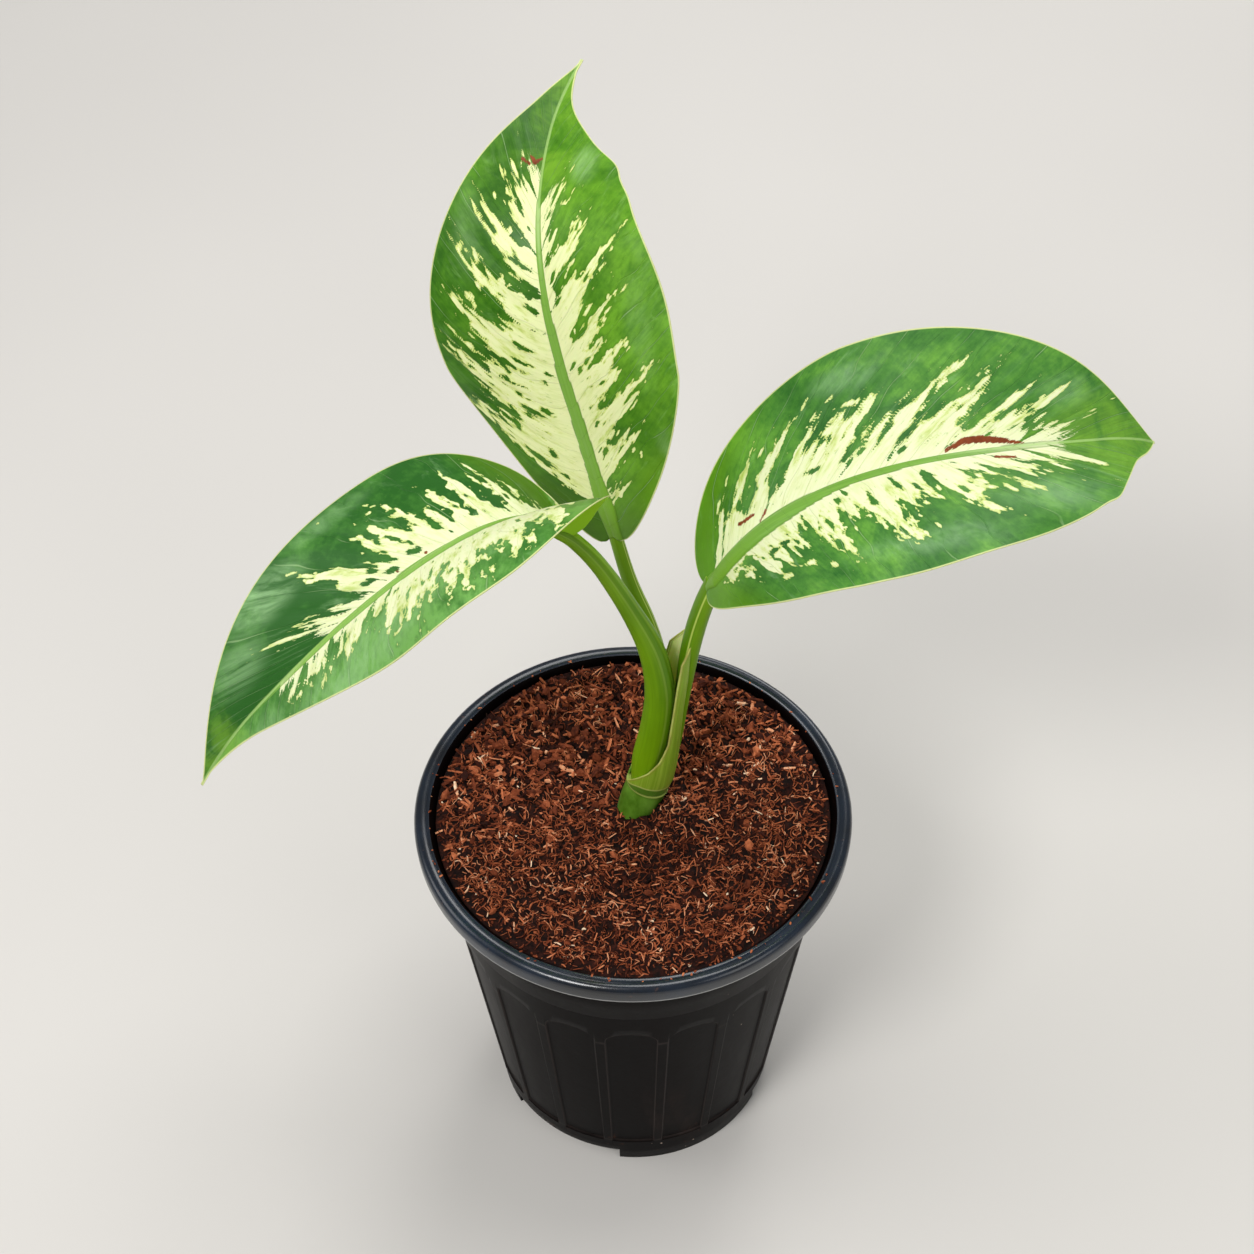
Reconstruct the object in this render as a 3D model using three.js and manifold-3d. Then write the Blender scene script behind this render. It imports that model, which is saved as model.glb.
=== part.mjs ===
// Potted dieffenbachia: a young plant with three variegated leaves, growing in a nursery pot.
//
// Millimetres, +Z up. The origin is the middle of the pot's base, on the surface it stands on.
// -Y is the front of the plant and +X is the viewer's right.
//
// Pieces: the moulded pot, the soil, the short cane, and three leaves. Each leaf is one grown
// piece: the blade with its midrib, the leaf stalk, and the sheath that clasps the younger stalks.

import * as THREE from 'three';
import { mergeVertices } from 'three/addons/utils/BufferGeometryUtils.js';
import Module from 'manifold-3d';

const wasm = await Module();
wasm.setup();

// ---------------------------------------------------------------- driving dimensions

const CLEARANCE = 0.3;          // between pieces that touch

const POT = {
  height: 127.5,
  rimRadius: 65,                // outside of the turned-down rim
  baseRadius: 44,
  neckRadius: 58.8,             // wall just under the rim
  neckHeight: 121.5,            // lower edge of the turned-down rim
  wall: 1.1,
  floorHeight: 6,               // inside floor
  underside: 4.8,               // underside of the floor
  padRadius: 12,                // round pad in the middle of the base
  padWall: 1.2,
  footWidth: 1.6,
  notchHeight: 4.5,             // gaps in the foot ring
  footCount: 3,
  footStart: -7,                // degrees from the front towards +X
  footSpan: 68,                 // degrees; the rest of each pitch is notched
  drainCount: 7,
  drainRadius: 4,
  drainCircle: 31,
  drillPast: 1,                 // how far a drain hole is cut past each side of the floor
};

const PANEL = {
  count: 18,                    // arch-topped panels round the wall
  firstRib: 8.7,                // degrees from the front towards +X
  bottom: 13,
  edgeStep: 0.8,                // height over which a panel's edge steps in
  spring: 82.5,                 // where the arch leaves the straight sides
  rise: 6.8,
  depth: 0.6,
  ribHalfWidth: 1.5,            // degrees
  slope: 0.7,                   // degrees, side of a rib
  bandHeight: 99.8,             // smooth band above the arches starts here
  bandStep: 0.4,
};

const SOIL = {
  edgeHeight: 124.6,            // where it meets the pot, just under the lip
  edgeRadius: 58.6,
  shoulder: 124.9,              // height near the wall
  middle: 119.5,                // height by the cane
  bowl: [14, 50],               // radii between which it climbs to the shoulder
  edgeFall: [54.5, 58.6],       // radii between which it settles to its edge
  rise: 0.012,                  // millimetres a millimetre, towards the back
  heap: 6.5,                    // heap against the right of the cane
  heapAt: [13, 0],
  heapRadius: 16,
  lump: 1.1,
  calm: [6, 14],                // radii between which the lumps begin
};

// Centre line and radius of each stalk: [x, y, z, radius].
const CANE_LINE = [
  [-0.6, 6.6, 84, 5.4], [-0.3, 6.4, 104, 5.8], [1.2, 6.6, 118.5, 5.9], [4.4, 8.2, 128.7, 6.3],
];
const STALK_LEFT = [
  [3.7, 7.5, 128, 4.3], [4.6, 6.9, 142, 4.7], [6.9, 6.2, 158, 4.5], [7.9, 6, 174, 4.35],
  [5.5, 5.8, 191, 3.75], [-0.4, 5.3, 208, 2.85], [-7.8, 4.2, 225.4, 2.4], [-13.6, 2.3, 236, 2.3],
  [-17.2, 0.2, 240.4, 2.2],
];
const STALK_TOP = [
  [6.1, 11, 128, 1.9], [7.6, 10.4, 150, 2.1], [8.5, 10.5, 166, 2.3], [7.5, 12.4, 181, 2.35],
  [4.5, 15, 193, 2.25], [-0.4, 18.6, 206, 2.1], [-4.4, 23.4, 220, 1.9],
];
const STALK_RIGHT = [
  [9.0, 8.3, 127.6, 1.3], [12.2, 8.1, 147, 1.9], [14.1, 8.1, 166, 2.2], [15.9, 8.1, 184, 2.7],
  [17.8, 8, 197, 2.8], [20.1, 7.6, 208, 2.7], [22.6, 7.2, 217, 2.5],
];

// Sheath of the right leaf, which clasps the other two stalks. Each station gives the height, the
// middle and half axes of its oval, how far it leans to +X and to +Y, and where its two edges
// lie, in degrees round from +X.
const SHEATH = [
  { z: 129.1, x: 4.4, y: 8.2, rx: 5.95, ry: 5.95, leanX: 17.4, leanY: 8.9, front: -172, back: 160 },
  { z: 134, x: 5.5, y: 7.9, rx: 6.5, ry: 6.1, leanX: 13, leanY: 7, front: -142, back: 140 },
  { z: 140, x: 6.3, y: 7.6, rx: 6.6, ry: 6.1, leanX: 9, leanY: 4, front: -108, back: 125 },
  { z: 146, x: 7.0, y: 7.4, rx: 6.5, ry: 6.1, leanX: 6, leanY: 2, front: -84, back: 115 },
  { z: 154, x: 7.9, y: 7.3, rx: 6.0, ry: 6.1, leanX: 5, leanY: 0, front: -67, back: 108 },
  { z: 166, x: 9.0, y: 7.3, rx: 5.7, ry: 6.1, leanX: 5, leanY: 0, front: -64, back: 104 },
  { z: 178, x: 10.4, y: 7.4, rx: 5.5, ry: 5.8, leanX: 5, leanY: 0, front: -66, back: 104 },
  { z: 187, x: 12.0, y: 7.7, rx: 4.6, ry: 4.9, leanX: 5, leanY: 0, front: -66, back: 106 },
  { z: 193, x: 13.6, y: 7.9, rx: 3.6, ry: 3.7, leanX: 5, leanY: 0, front: -36, back: 72 },
];
const SHEATH_WALL = 0.9;

// Each blade: its midrib as a cubic curve, the way its upper face looks at base and tip (azimuth
// and elevation in degrees), how far the midrib's base sinks to meet the stalk, and how far the
// tip bends away. Each half, left and right as seen along the midrib towards the tip: its reach
// and where along the midrib it is widest (0 to 1), how full its base and tip are, the half width
// where it starts, how far it folds up from the midrib (radians, base and tip), how it curls over
// (radians a millimetre, base and tip), how far its base lobe sweeps back, the wave of its edge
// (height, number of waves, phase), and where that edge swells or draws in (place along the
// midrib, change of the half width, spread).
const BLADE = {
  thickness: 0.8,
  lobeLength: 0.06,             // share of the midrib that a base lobe takes
  sinkLength: 0.05,             // share of it that sinks towards the stalk
  ribHeight: 2.2,               // midrib under the blade, at its base
  ribWidth: 1.9,
  ribFade: 0.8,                 // power by which the midrib thins towards the tip
  waveStart: 0.15,              // shares of the midrib where the waves are fully grown
  waveEnd: 0.8,
  pointStart: 0.985,            // share of the midrib where the fine point at the tip begins
  pointWidth: 0.4,              // half its width
  bendStart: 0.86,              // share of the midrib from which the tip bends away
};
const LEAVES = {
  leaf_left: {
    midrib: [[-17, 0, 248], [-41, -9, 265], [-78, -21, 234], [-117, -32, 185]],
    tipBend: [0.4, -1.2, -3.2],
    faceBase: [136, 63],
    faceTip: [-73, 53],
    sink: 7,
    left: {
      reach: 34.5, widest: 0.25, base: 1.9, tip: 1.8, taper: 1.5, root: 7.5,
      fold: [0.88, 0.2], curl: [0.031, 0.005], lobe: 7, wave: [0.6, 3, 0.4], edge: [],
    },
    right: {
      reach: 34.5, widest: 0.45, base: 1.74, tip: 2.3, taper: 1.2, root: 6.5,
      fold: [0.4, 0.1], curl: [0.005, 0.025], lobe: 5, wave: [0.6, 2.5, 2], edge: [],
    },
  },
  leaf_top: {
    midrib: [[-4, 22, 220], [-20, 39, 279], [-32, 43, 306], [-14, 103, 317]],
    tipBend: [2.4, 1, 0.7],
    faceBase: [-132, 25],
    faceTip: [-102, 39],
    sink: 0,
    left: {
      reach: 34.5, widest: 0.35, base: 1.4, tip: 2.6, taper: 1.5, root: 5,
      fold: [0.2, 0.2], curl: [0.01, 0.01], lobe: 3.5, wave: [0.7, 2.5, 1],
      edge: [[0.95, 0.7, 0.04]],
    },
    right: {
      reach: 35, widest: 0.3, base: 1.4, tip: 2.7, taper: 1.5, root: 2.5,
      fold: [0.25, 0.2], curl: [0.015, 0.005], lobe: 1.5, wave: [0.9, 3, 2.6],
      edge: [[0.91, -1.7, 0.055], [0.78, 2.5, 0.035], [0.71, 1.2, 0.05]],
    },
  },
  leaf_right: {
    midrib: [[21, 7, 216], [43, 10, 269], [109, 6, 265], [137, 22, 256]],
    tipBend: [1.1, -1.2, -2],
    faceBase: [-100, 87],
    faceTip: [-62, 61],
    sink: 0,
    left: {
      reach: 35.5, widest: 0.4, base: 1.6, tip: 2.8, taper: 1.1, root: 3,
      fold: [0.25, 0.2], curl: [0, -0.005], lobe: 2, wave: [0.6, 2.5, 0.5], edge: [],
    },
    right: {
      reach: 35, widest: 0.35, base: 1.6, tip: 2.3, taper: 1, root: 4,
      fold: [0.25, 0.2], curl: [0.01, 0], lobe: 2.5, wave: [0.8, 3.5, 1.2],
      edge: [[0.92, -1.9, 0.035], [0.845, 1.3, 0.022], [0.8, 0.7, 0.06]],
    },
  },
};

// How finely each surface is divided.
const DETAIL = {
  drillSides: 12,
  soilSides: 48,
  soilRings: [5, 10, 15, 20, 25, 30, 35, 40, 45, 50],
  stalkSides: 10,
  stalkSteps: 18,
  caneSides: 18,
  caneSteps: 7,
  bladeRows: 30,
  bladeCrowding: 0.45,          // how far the rows crowd towards the base and the tip
  bladeColumns: [0.05, 0.13, 0.28, 0.46, 0.65, 0.84, 1],
  sheathColumns: 12,
  sheathRows: 12,
};

// ---------------------------------------------------------------- helpers

const FULL_TURN = 2 * Math.PI;
const rad = THREE.MathUtils.degToRad;
const lerp = THREE.MathUtils.lerp;
const smooth = THREE.MathUtils.smoothstep;

function vec(list) {
  return new THREE.Vector3(list[0], list[1], list[2]);
}

// A geometry as a solid: only positions, with shared corners merged.
function toSolid(geometry) {
  const bare = geometry.clone();
  bare.deleteAttribute('normal');
  bare.deleteAttribute('uv');
  const merged = mergeVertices(bare, 1e-4);
  return new wasm.Manifold(new wasm.Mesh({
    numProp: 3,
    vertProperties: new Float32Array(merged.attributes.position.array),
    triVerts: new Uint32Array(merged.index.array),
  }));
}

// The largest body of a solid: a cut can leave loose crumbs, which are dropped.
function mainBody(solid) {
  return solid.decompose().reduce((best, body) => (body.volume() > best.volume() ? body : best));
}

function toGeometry(solid) {
  const mesh = solid.getMesh();
  const geometry = new THREE.BufferGeometry();
  geometry.setAttribute('position', new THREE.BufferAttribute(mesh.vertProperties, 3));
  geometry.setIndex(new THREE.BufferAttribute(mesh.triVerts, 1));
  geometry.computeVertexNormals();
  return geometry;
}

// Moves every vertex of a geometry to where the rule puts it.
function reshape(geometry, rule) {
  const position = geometry.attributes.position;
  const point = new THREE.Vector3();
  for (let i = 0; i < position.count; i += 1) {
    point.fromBufferAttribute(position, i);
    const moved = rule(point, i);
    position.setXYZ(i, moved.x, moved.y, moved.z);
  }
  return geometry;
}

// A stalk: a round tube of changing radius along a smooth curve, closed at both ends.
function stalk(stations, grow = 0, sides = DETAIL.stalkSides, steps = DETAIL.stalkSteps) {
  const curve = new THREE.CatmullRomCurve3(stations.map(vec), false, 'catmullrom', 0.5);
  const across = new THREE.Vector3(0, 1, 0);
  const cylinder = new THREE.CylinderGeometry(1, 1, 1, sides, steps);
  return reshape(cylinder, (p) => {
    const t = THREE.MathUtils.clamp(p.y + 0.5, 0, 1);
    const tangent = curve.getTangent(t);
    const sideways = new THREE.Vector3().crossVectors(across, tangent).normalize();
    const forwards = new THREE.Vector3().crossVectors(sideways, tangent);
    const place = t * (stations.length - 1);
    const k = Math.min(Math.floor(place), stations.length - 2);
    const radius = lerp(stations[k][3], stations[k + 1][3], place - k) + grow;
    return curve.getPoint(t)
      .addScaledVector(sideways, p.x * radius)
      .addScaledVector(forwards, p.z * radius)
      .addScaledVector(tangent, Math.sign(t - 0.5) * (t === 0 || t === 1 ? grow : 0));
  });
}

// A thin skin between two faces that are split into triangles alike. faces(u, v) gives the upper
// and the lower point; us and vs run from 0 to 1 and from -1 to 1.
function skin(us, vs, faces) {
  const positions = [];
  const index = [];
  const columns = vs.length;
  const layer = us.length * columns;
  const pairs = us.map((u) => vs.map((v) => faces(u, v)));
  for (const face of [0, 1]) {
    pairs.flat().forEach((pair) => positions.push(...pair[face].toArray()));
  }
  const at = (i, j) => i * columns + j;
  for (let i = 0; i < us.length - 1; i += 1) {
    for (let j = 0; j < columns - 1; j += 1) {
      const [a, b, c, d] = [at(i, j), at(i + 1, j), at(i + 1, j + 1), at(i, j + 1)];
      const cell = (j < (columns - 1) / 2) ? [a, d, b, b, d, c] : [a, d, c, a, c, b];
      index.push(...cell);
      index.push(...cell.map((k) => k + layer).reverse());
    }
  }
  const rim = [];
  for (let j = 0; j < columns - 1; j += 1) rim.push(at(0, j));
  for (let i = 0; i < us.length - 1; i += 1) rim.push(at(i, columns - 1));
  for (let j = columns - 1; j > 0; j -= 1) rim.push(at(us.length - 1, j));
  for (let i = us.length - 1; i > 0; i -= 1) rim.push(at(i, 0));
  rim.forEach((a, k) => {
    const b = rim[(k + 1) % rim.length];
    index.push(a, a + layer, b, b, a + layer, b + layer);
  });
  const geometry = new THREE.BufferGeometry();
  geometry.setAttribute('position', new THREE.BufferAttribute(new Float32Array(positions), 3));
  geometry.setIndex(index);
  return geometry;
}

// Even, repeatable bumps for the soil, from -1 to 1.
function bumps(x, y) {
  const coarse = Math.sin(x * 0.61 + 1.3 * Math.sin(y * 0.37)) * Math.cos(y * 0.53 + 0.7);
  const fine = Math.sin(x * 1.37 + 2.1) * Math.sin(y * 1.13 + 1.9 * Math.sin(x * 0.71));
  return 0.6 * coarse + 0.4 * fine;
}

// ---------------------------------------------------------------- pot

const PITCH = 360 / PANEL.count;
const WALL_LEAN = (POT.neckRadius - POT.baseRadius) / POT.neckHeight;

function wallRadius(height) {
  return POT.baseRadius + WALL_LEAN * height;
}

function innerRadius(height) {
  return wallRadius(height) - POT.wall;
}

// Half section of the pot, from the middle of the base round the outside and back inside.
// A point's third value names what the moulding does to it.
function potSection() {
  const footInner = POT.baseRadius - POT.footWidth;
  const padSlope = 0.8;
  const under = POT.neckHeight;
  const top = POT.height;
  const rim = POT.rimRadius;
  const arch = PANEL.spring;
  const band = PANEL.bandHeight;
  return [
    [0, 0],
    [POT.padRadius, 0],
    [POT.padRadius + padSlope, POT.underside],
    [footInner - 0.4, POT.underside],
    [footInner, 0, 'foot'],
    [POT.baseRadius, 0, 'foot'],
    [wallRadius(PANEL.bottom - PANEL.edgeStep), PANEL.bottom - PANEL.edgeStep],
    [wallRadius(PANEL.bottom), PANEL.bottom, 'recess'],
    [wallRadius(arch), arch, 'archBelow'],
    [wallRadius(arch), arch, 'archAbove'],
    [wallRadius(band), band],
    [wallRadius(band) + PANEL.bandStep, band + 0.5],
    [POT.neckRadius + PANEL.bandStep, under],
    [POT.neckRadius + 1.5, under + 4],
    [rim - 1.6, under + 4.6],
    [rim - 1.2, under],
    [rim - 0.3, under],
    [rim, top - 2],
    [rim - 0.7, top - 0.4],
    [rim - 1.9, top],
    [rim - 3.1, top - 0.2],
    [rim - 3.8, top - 0.6],
    [rim - 4.2, top - 0.2],
    [rim - 4.8, top - 0.6],
    [rim - 6.6, top - 5],
    [innerRadius(under - 2), under - 2],
    [innerRadius(POT.floorHeight), POT.floorHeight],
    [POT.padRadius + 2, POT.floorHeight],
    [POT.padRadius + 1, POT.padWall],
    [0, POT.padWall],
  ];
}

// Angles of the wall's columns within one panel, from the middle of a rib, in degrees.
function panelColumns() {
  const edge = PANEL.ribHalfWidth;
  const foot = edge + PANEL.slope;
  const crown = foot + (PITCH / 2 - foot) * 0.6;
  return [edge, foot, crown, PITCH - crown, PITCH - foot, PITCH - edge];
}

function archHeight(angle) {
  const half = PITCH / 2 - PANEL.ribHalfWidth;
  const off = Math.min(Math.abs(angle - PITCH / 2) / half, 1);
  return PANEL.spring + PANEL.rise * Math.sqrt(1 - off * off);
}

function inRecess(angle) {
  return angle > PANEL.ribHalfWidth + 0.01 && angle < PITCH - PANEL.ribHalfWidth - 0.01;
}

function makePot() {
  const section = potSection();
  const columns = panelColumns();
  const segments = PANEL.count * columns.length;
  const lathe = new THREE.LatheGeometry(section.map((p) => new THREE.Vector2(p[0], p[1])), segments);
  const footPitch = 360 / POT.footCount;
  reshape(lathe, (p, i) => {
    const column = Math.floor(i / section.length) % segments;
    const [, , rule] = section[i % section.length];
    const within = columns[column % columns.length];
    const azimuth = PANEL.firstRib + Math.floor(column / columns.length) * PITCH + within;
    let radius = Math.hypot(p.x, p.z);
    let height = p.y;
    if (rule === 'foot') {
      const along = (azimuth - POT.footStart + 360) % footPitch;
      height = along < POT.footSpan ? 0 : POT.notchHeight;
    }
    if (rule === 'archBelow') {
      height = archHeight(within);
      radius = wallRadius(height);
    }
    if (rule === 'archAbove') {
      height = archHeight(within) + PANEL.edgeStep;
      radius = wallRadius(height);
    }
    if ((rule === 'recess' || rule === 'archBelow') && inRecess(within)) {
      radius -= PANEL.depth;
    }
    const turn = rad(azimuth - 90);
    return new THREE.Vector3(radius * Math.cos(turn), radius * Math.sin(turn), height);
  });
  let solid = toSolid(lathe);
  const drillLength = POT.floorHeight - POT.underside + 2 * POT.drillPast;
  const drillMiddle = (POT.floorHeight + POT.underside) / 2;
  for (let k = 0; k < POT.drainCount; k += 1) {
    const turn = FULL_TURN * (k + 0.5) / POT.drainCount;
    const x = POT.drainCircle * Math.cos(turn);
    const y = POT.drainCircle * Math.sin(turn);
    const drill = new THREE.CylinderGeometry(
      POT.drainRadius, POT.drainRadius, drillLength, DETAIL.drillSides,
    );
    drill.rotateX(Math.PI / 2);
    drill.translate(x, y, drillMiddle);
    solid = solid.subtract(toSolid(drill));
  }
  return toGeometry(solid);
}

// ---------------------------------------------------------------- soil

function edgeHeight(y) {
  return SOIL.edgeHeight + SOIL.rise * y;
}

function soilHeight(radius, x, y) {
  const bowl = smooth(radius, ...SOIL.bowl) * (SOIL.shoulder - SOIL.middle);
  const level = SOIL.middle + bowl + SOIL.rise * y;
  const away = Math.hypot(x - SOIL.heapAt[0], y - SOIL.heapAt[1]);
  const heap = SOIL.heap * (1 - smooth(away, 0, SOIL.heapRadius));
  const lumps = SOIL.lump * smooth(radius, ...SOIL.calm) * bumps(x, y);
  return lerp(level + heap + lumps, edgeHeight(y), smooth(radius, ...SOIL.edgeFall));
}

function makeSoil() {
  const bottom = POT.floorHeight + CLEARANCE;
  const neck = POT.neckHeight - 2;
  const padGap = 1.2 * CLEARANCE;
  const outline = [
    [0, POT.padWall + CLEARANCE],
    [POT.padRadius + 1 - padGap, POT.padWall + CLEARANCE],
    [POT.padRadius + 2 - padGap, bottom],
    [innerRadius(POT.floorHeight) - CLEARANCE, bottom],
    [innerRadius(neck) - CLEARANCE, neck],
    [SOIL.edgeRadius, SOIL.edgeHeight],
    [SOIL.edgeFall[0], 0],
    ...DETAIL.soilRings.slice().reverse().map((r) => [r, 0]),
    [0, 0],
  ];
  const edgePoint = 5;
  const lathe = new THREE.LatheGeometry(
    outline.map((p) => new THREE.Vector2(p[0], p[1])), DETAIL.soilSides,
  );
  reshape(lathe, (p, i) => {
    const x = p.x;
    const y = -p.z;
    const radius = Math.hypot(x, y);
    const place = i % outline.length;
    if (place < edgePoint) return new THREE.Vector3(x, y, p.y);
    if (place > edgePoint) return new THREE.Vector3(x, y, soilHeight(radius, x, y));
    return new THREE.Vector3(x, y, edgeHeight(y));
  });
  const hole = stalk(CANE_LINE, CLEARANCE, DETAIL.caneSides, DETAIL.caneSteps);
  return toGeometry(toSolid(lathe).subtract(toSolid(hole)));
}

// ---------------------------------------------------------------- plant

function makeCane() {
  return toGeometry(toSolid(stalk(CANE_LINE, 0, DETAIL.caneSides, DETAIL.caneSteps)));
}

// Half width of one side of a blade at t along the midrib.
function halfWidth(side, t) {
  const rise = Math.min(t / side.widest, 1);
  const fall = Math.max((t - side.widest) / (1 - side.widest), 0);
  const base = (1 - (1 - rise) ** side.base) ** (1 / side.base);
  const tip = (1 - fall ** side.tip) ** side.taper;
  const uneven = side.edge.reduce(
    (sum, [place, change, spread]) => sum + change * Math.exp(-(((t - place) / spread) ** 2)), 0,
  );
  return Math.max((side.root + (side.reach - side.root) * base) * tip + uneven, BLADE.pointWidth);
}

function faceDirection([azimuth, elevation]) {
  const level = Math.cos(rad(elevation));
  return new THREE.Vector3(
    level * Math.cos(rad(azimuth)), level * Math.sin(rad(azimuth)), Math.sin(rad(elevation)),
  );
}

// Where an arc that starts at angle fold and bends by curl a millimetre gets to.
function arc(fold, curl, length) {
  if (Math.abs(curl) < 1e-6) return [length * Math.cos(fold), length * Math.sin(fold)];
  const end = fold - curl * length;
  return [(Math.sin(fold) - Math.sin(end)) / curl, (Math.cos(end) - Math.cos(fold)) / curl];
}

// Upper and lower point of a blade at t along the midrib and v across it, from -1 to 1.
function bladeFaces(leaf, curve, t, v) {
  const side = v < 0 ? leaf.left : leaf.right;
  const sign = v < 0 ? -1 : 1;
  const reach = Math.abs(v);
  const tangent = curve.getTangent(t);
  const facing = faceDirection(leaf.faceBase).lerp(faceDirection(leaf.faceTip), t);
  const up = facing.addScaledVector(tangent, -facing.dot(tangent)).normalize();
  const outward = new THREE.Vector3().crossVectors(tangent, up).multiplyScalar(sign);
  const length = halfWidth(side, t) * reach;
  const fold = lerp(side.fold[0], side.fold[1], t);
  const curl = lerp(side.curl[0], side.curl[1], t);
  const [along, lift] = arc(fold, curl, length);
  const [waveHeight, waves, phase] = side.wave;
  const fade = smooth(t, 0, BLADE.waveStart) * (1 - smooth(t, BLADE.waveEnd, 1));
  const wave = waveHeight * fade * reach ** 3 * Math.sin(FULL_TURN * waves * t + phase);
  const sweep = side.lobe * Math.exp(-t / BLADE.lobeLength) * reach ** 1.5;
  const sink = leaf.sink * Math.exp(-t / BLADE.sinkLength) * (1 - reach ** 2.5);
  const bend = Math.max((t - BLADE.bendStart) / (1 - BLADE.bendStart), 0) ** 2;
  const middle = curve.getPoint(t)
    .addScaledVector(vec(leaf.tipBend), bend)
    .addScaledVector(outward, along)
    .addScaledVector(up, lift + wave)
    .addScaledVector(tangent, -sweep);
  middle.z -= sink;
  const tilt = v === 0 ? 0 : fold - curl * length;
  const normal = up.clone().multiplyScalar(Math.cos(tilt))
    .addScaledVector(outward, -Math.sin(tilt));
  const ribHeight = BLADE.ribHeight * (1 - t) ** BLADE.ribFade;
  const rib = ribHeight * Math.exp(-((length / BLADE.ribWidth) ** 2));
  const half = BLADE.thickness / 2;
  return [
    middle.clone().addScaledVector(normal, half),
    middle.clone().addScaledVector(normal, -half - rib),
  ];
}

function makeBlade(leaf) {
  const curve = new THREE.CubicBezierCurve3(...leaf.midrib.map(vec));
  const halves = DETAIL.bladeColumns;
  const vs = [...halves.map((v) => -v).reverse(), 0, ...halves];
  const us = Array.from({ length: DETAIL.bladeRows + 1 }, (_, i) => {
    const even = i / DETAIL.bladeRows;
    return BLADE.pointStart * lerp(even, (1 - Math.cos(Math.PI * even)) / 2, DETAIL.bladeCrowding);
  });
  return toSolid(skin([...us, 1], vs, (t, v) => bladeFaces(leaf, curve, t, v)));
}

// The sheath's station at height u (0 to 1), blended smoothly between the listed ones.
function sheathAt(u) {
  const place = u * (SHEATH.length - 1);
  const k = Math.min(Math.floor(place), SHEATH.length - 2);
  const blend = {};
  for (const key of Object.keys(SHEATH[0])) {
    blend[key] = lerp(SHEATH[k][key], SHEATH[k + 1][key], place - k);
  }
  return blend;
}

function makeSheath() {
  const us = Array.from({ length: DETAIL.sheathRows + 1 }, (_, i) => i / DETAIL.sheathRows);
  const vs = Array.from({ length: DETAIL.sheathColumns + 1 },
    (_, j) => 2 * j / DETAIL.sheathColumns - 1);
  return toSolid(skin(us, vs, (u, v) => {
    const s = sheathAt(u);
    const turn = rad(lerp(s.front, s.back, (v + 1) / 2));
    const point = (grow) => {
      const right = (s.rx + grow) * Math.cos(turn);
      const back = (s.ry + grow) * Math.sin(turn);
      const drop = right * Math.tan(rad(s.leanX)) + back * Math.tan(rad(s.leanY));
      return new THREE.Vector3(s.x + right, s.y + back, s.z - drop);
    };
    return [point(SHEATH_WALL / 2), point(-SHEATH_WALL / 2)];
  }));
}

// The stalks stand on the cane's top face. Each sheath leaves room for the stalks inside it.
function clearOf(solid, ...neighbours) {
  return neighbours.reduce((left, other) => left.subtract(other), solid);
}

function makeLeaves() {
  const grownCane = toSolid(stalk(CANE_LINE, CLEARANCE, DETAIL.caneSides, DETAIL.caneSteps));
  const grownTop = toSolid(stalk(STALK_TOP, CLEARANCE));
  const grownLeft = toSolid(stalk(STALK_LEFT, CLEARANCE));
  const top = makeBlade(LEAVES.leaf_top).add(toSolid(stalk(STALK_TOP)));
  const left = makeBlade(LEAVES.leaf_left).add(toSolid(stalk(STALK_LEFT)));
  const right = makeBlade(LEAVES.leaf_right).add(toSolid(stalk(STALK_RIGHT))).add(makeSheath());
  return {
    leaf_left: toGeometry(mainBody(clearOf(left, grownCane, grownTop))),
    leaf_top: toGeometry(mainBody(clearOf(top, grownCane))),
    leaf_right: toGeometry(mainBody(clearOf(right, grownCane, grownLeft, grownTop))),
  };
}

// ---------------------------------------------------------------- assembly

const COLOURS = {
  pot: new THREE.MeshStandardMaterial({ color: 0x15171a, roughness: 0.42, metalness: 0 }),
  soil: new THREE.MeshStandardMaterial({ color: 0x4a2718, roughness: 0.95, metalness: 0 }),
  cane: new THREE.MeshStandardMaterial({ color: 0x3f8f3c, roughness: 0.5, metalness: 0 }),
  leaf_left: new THREE.MeshStandardMaterial({ color: 0x4f9640, roughness: 0.35, metalness: 0 }),
  leaf_top: new THREE.MeshStandardMaterial({ color: 0x5aa336, roughness: 0.35, metalness: 0 }),
  leaf_right: new THREE.MeshStandardMaterial({ color: 0x3f8a42, roughness: 0.35, metalness: 0 }),
};

const PIECES = {
  pot: makePot(),
  soil: makeSoil(),
  cane: makeCane(),
  ...makeLeaves(),
};

const plant = new THREE.Group();
for (const [name, geometry] of Object.entries(PIECES)) {
  const mesh = new THREE.Mesh(geometry, COLOURS[name]);
  mesh.name = name;
  plant.add(mesh);
}

export default plant;
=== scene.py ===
"""Potted dieffenbachia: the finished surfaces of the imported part.

The tables below are in millimetres and degrees unless they say otherwise, and every mesh is brought
to metres when it is done.
+Z is up, the origin is the middle of the pot's base, -Y is the front and +X the viewer's right.
"""

import math
import random

import bmesh
import bpy
import numpy as np
from mathutils import Matrix, Vector, noise


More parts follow.
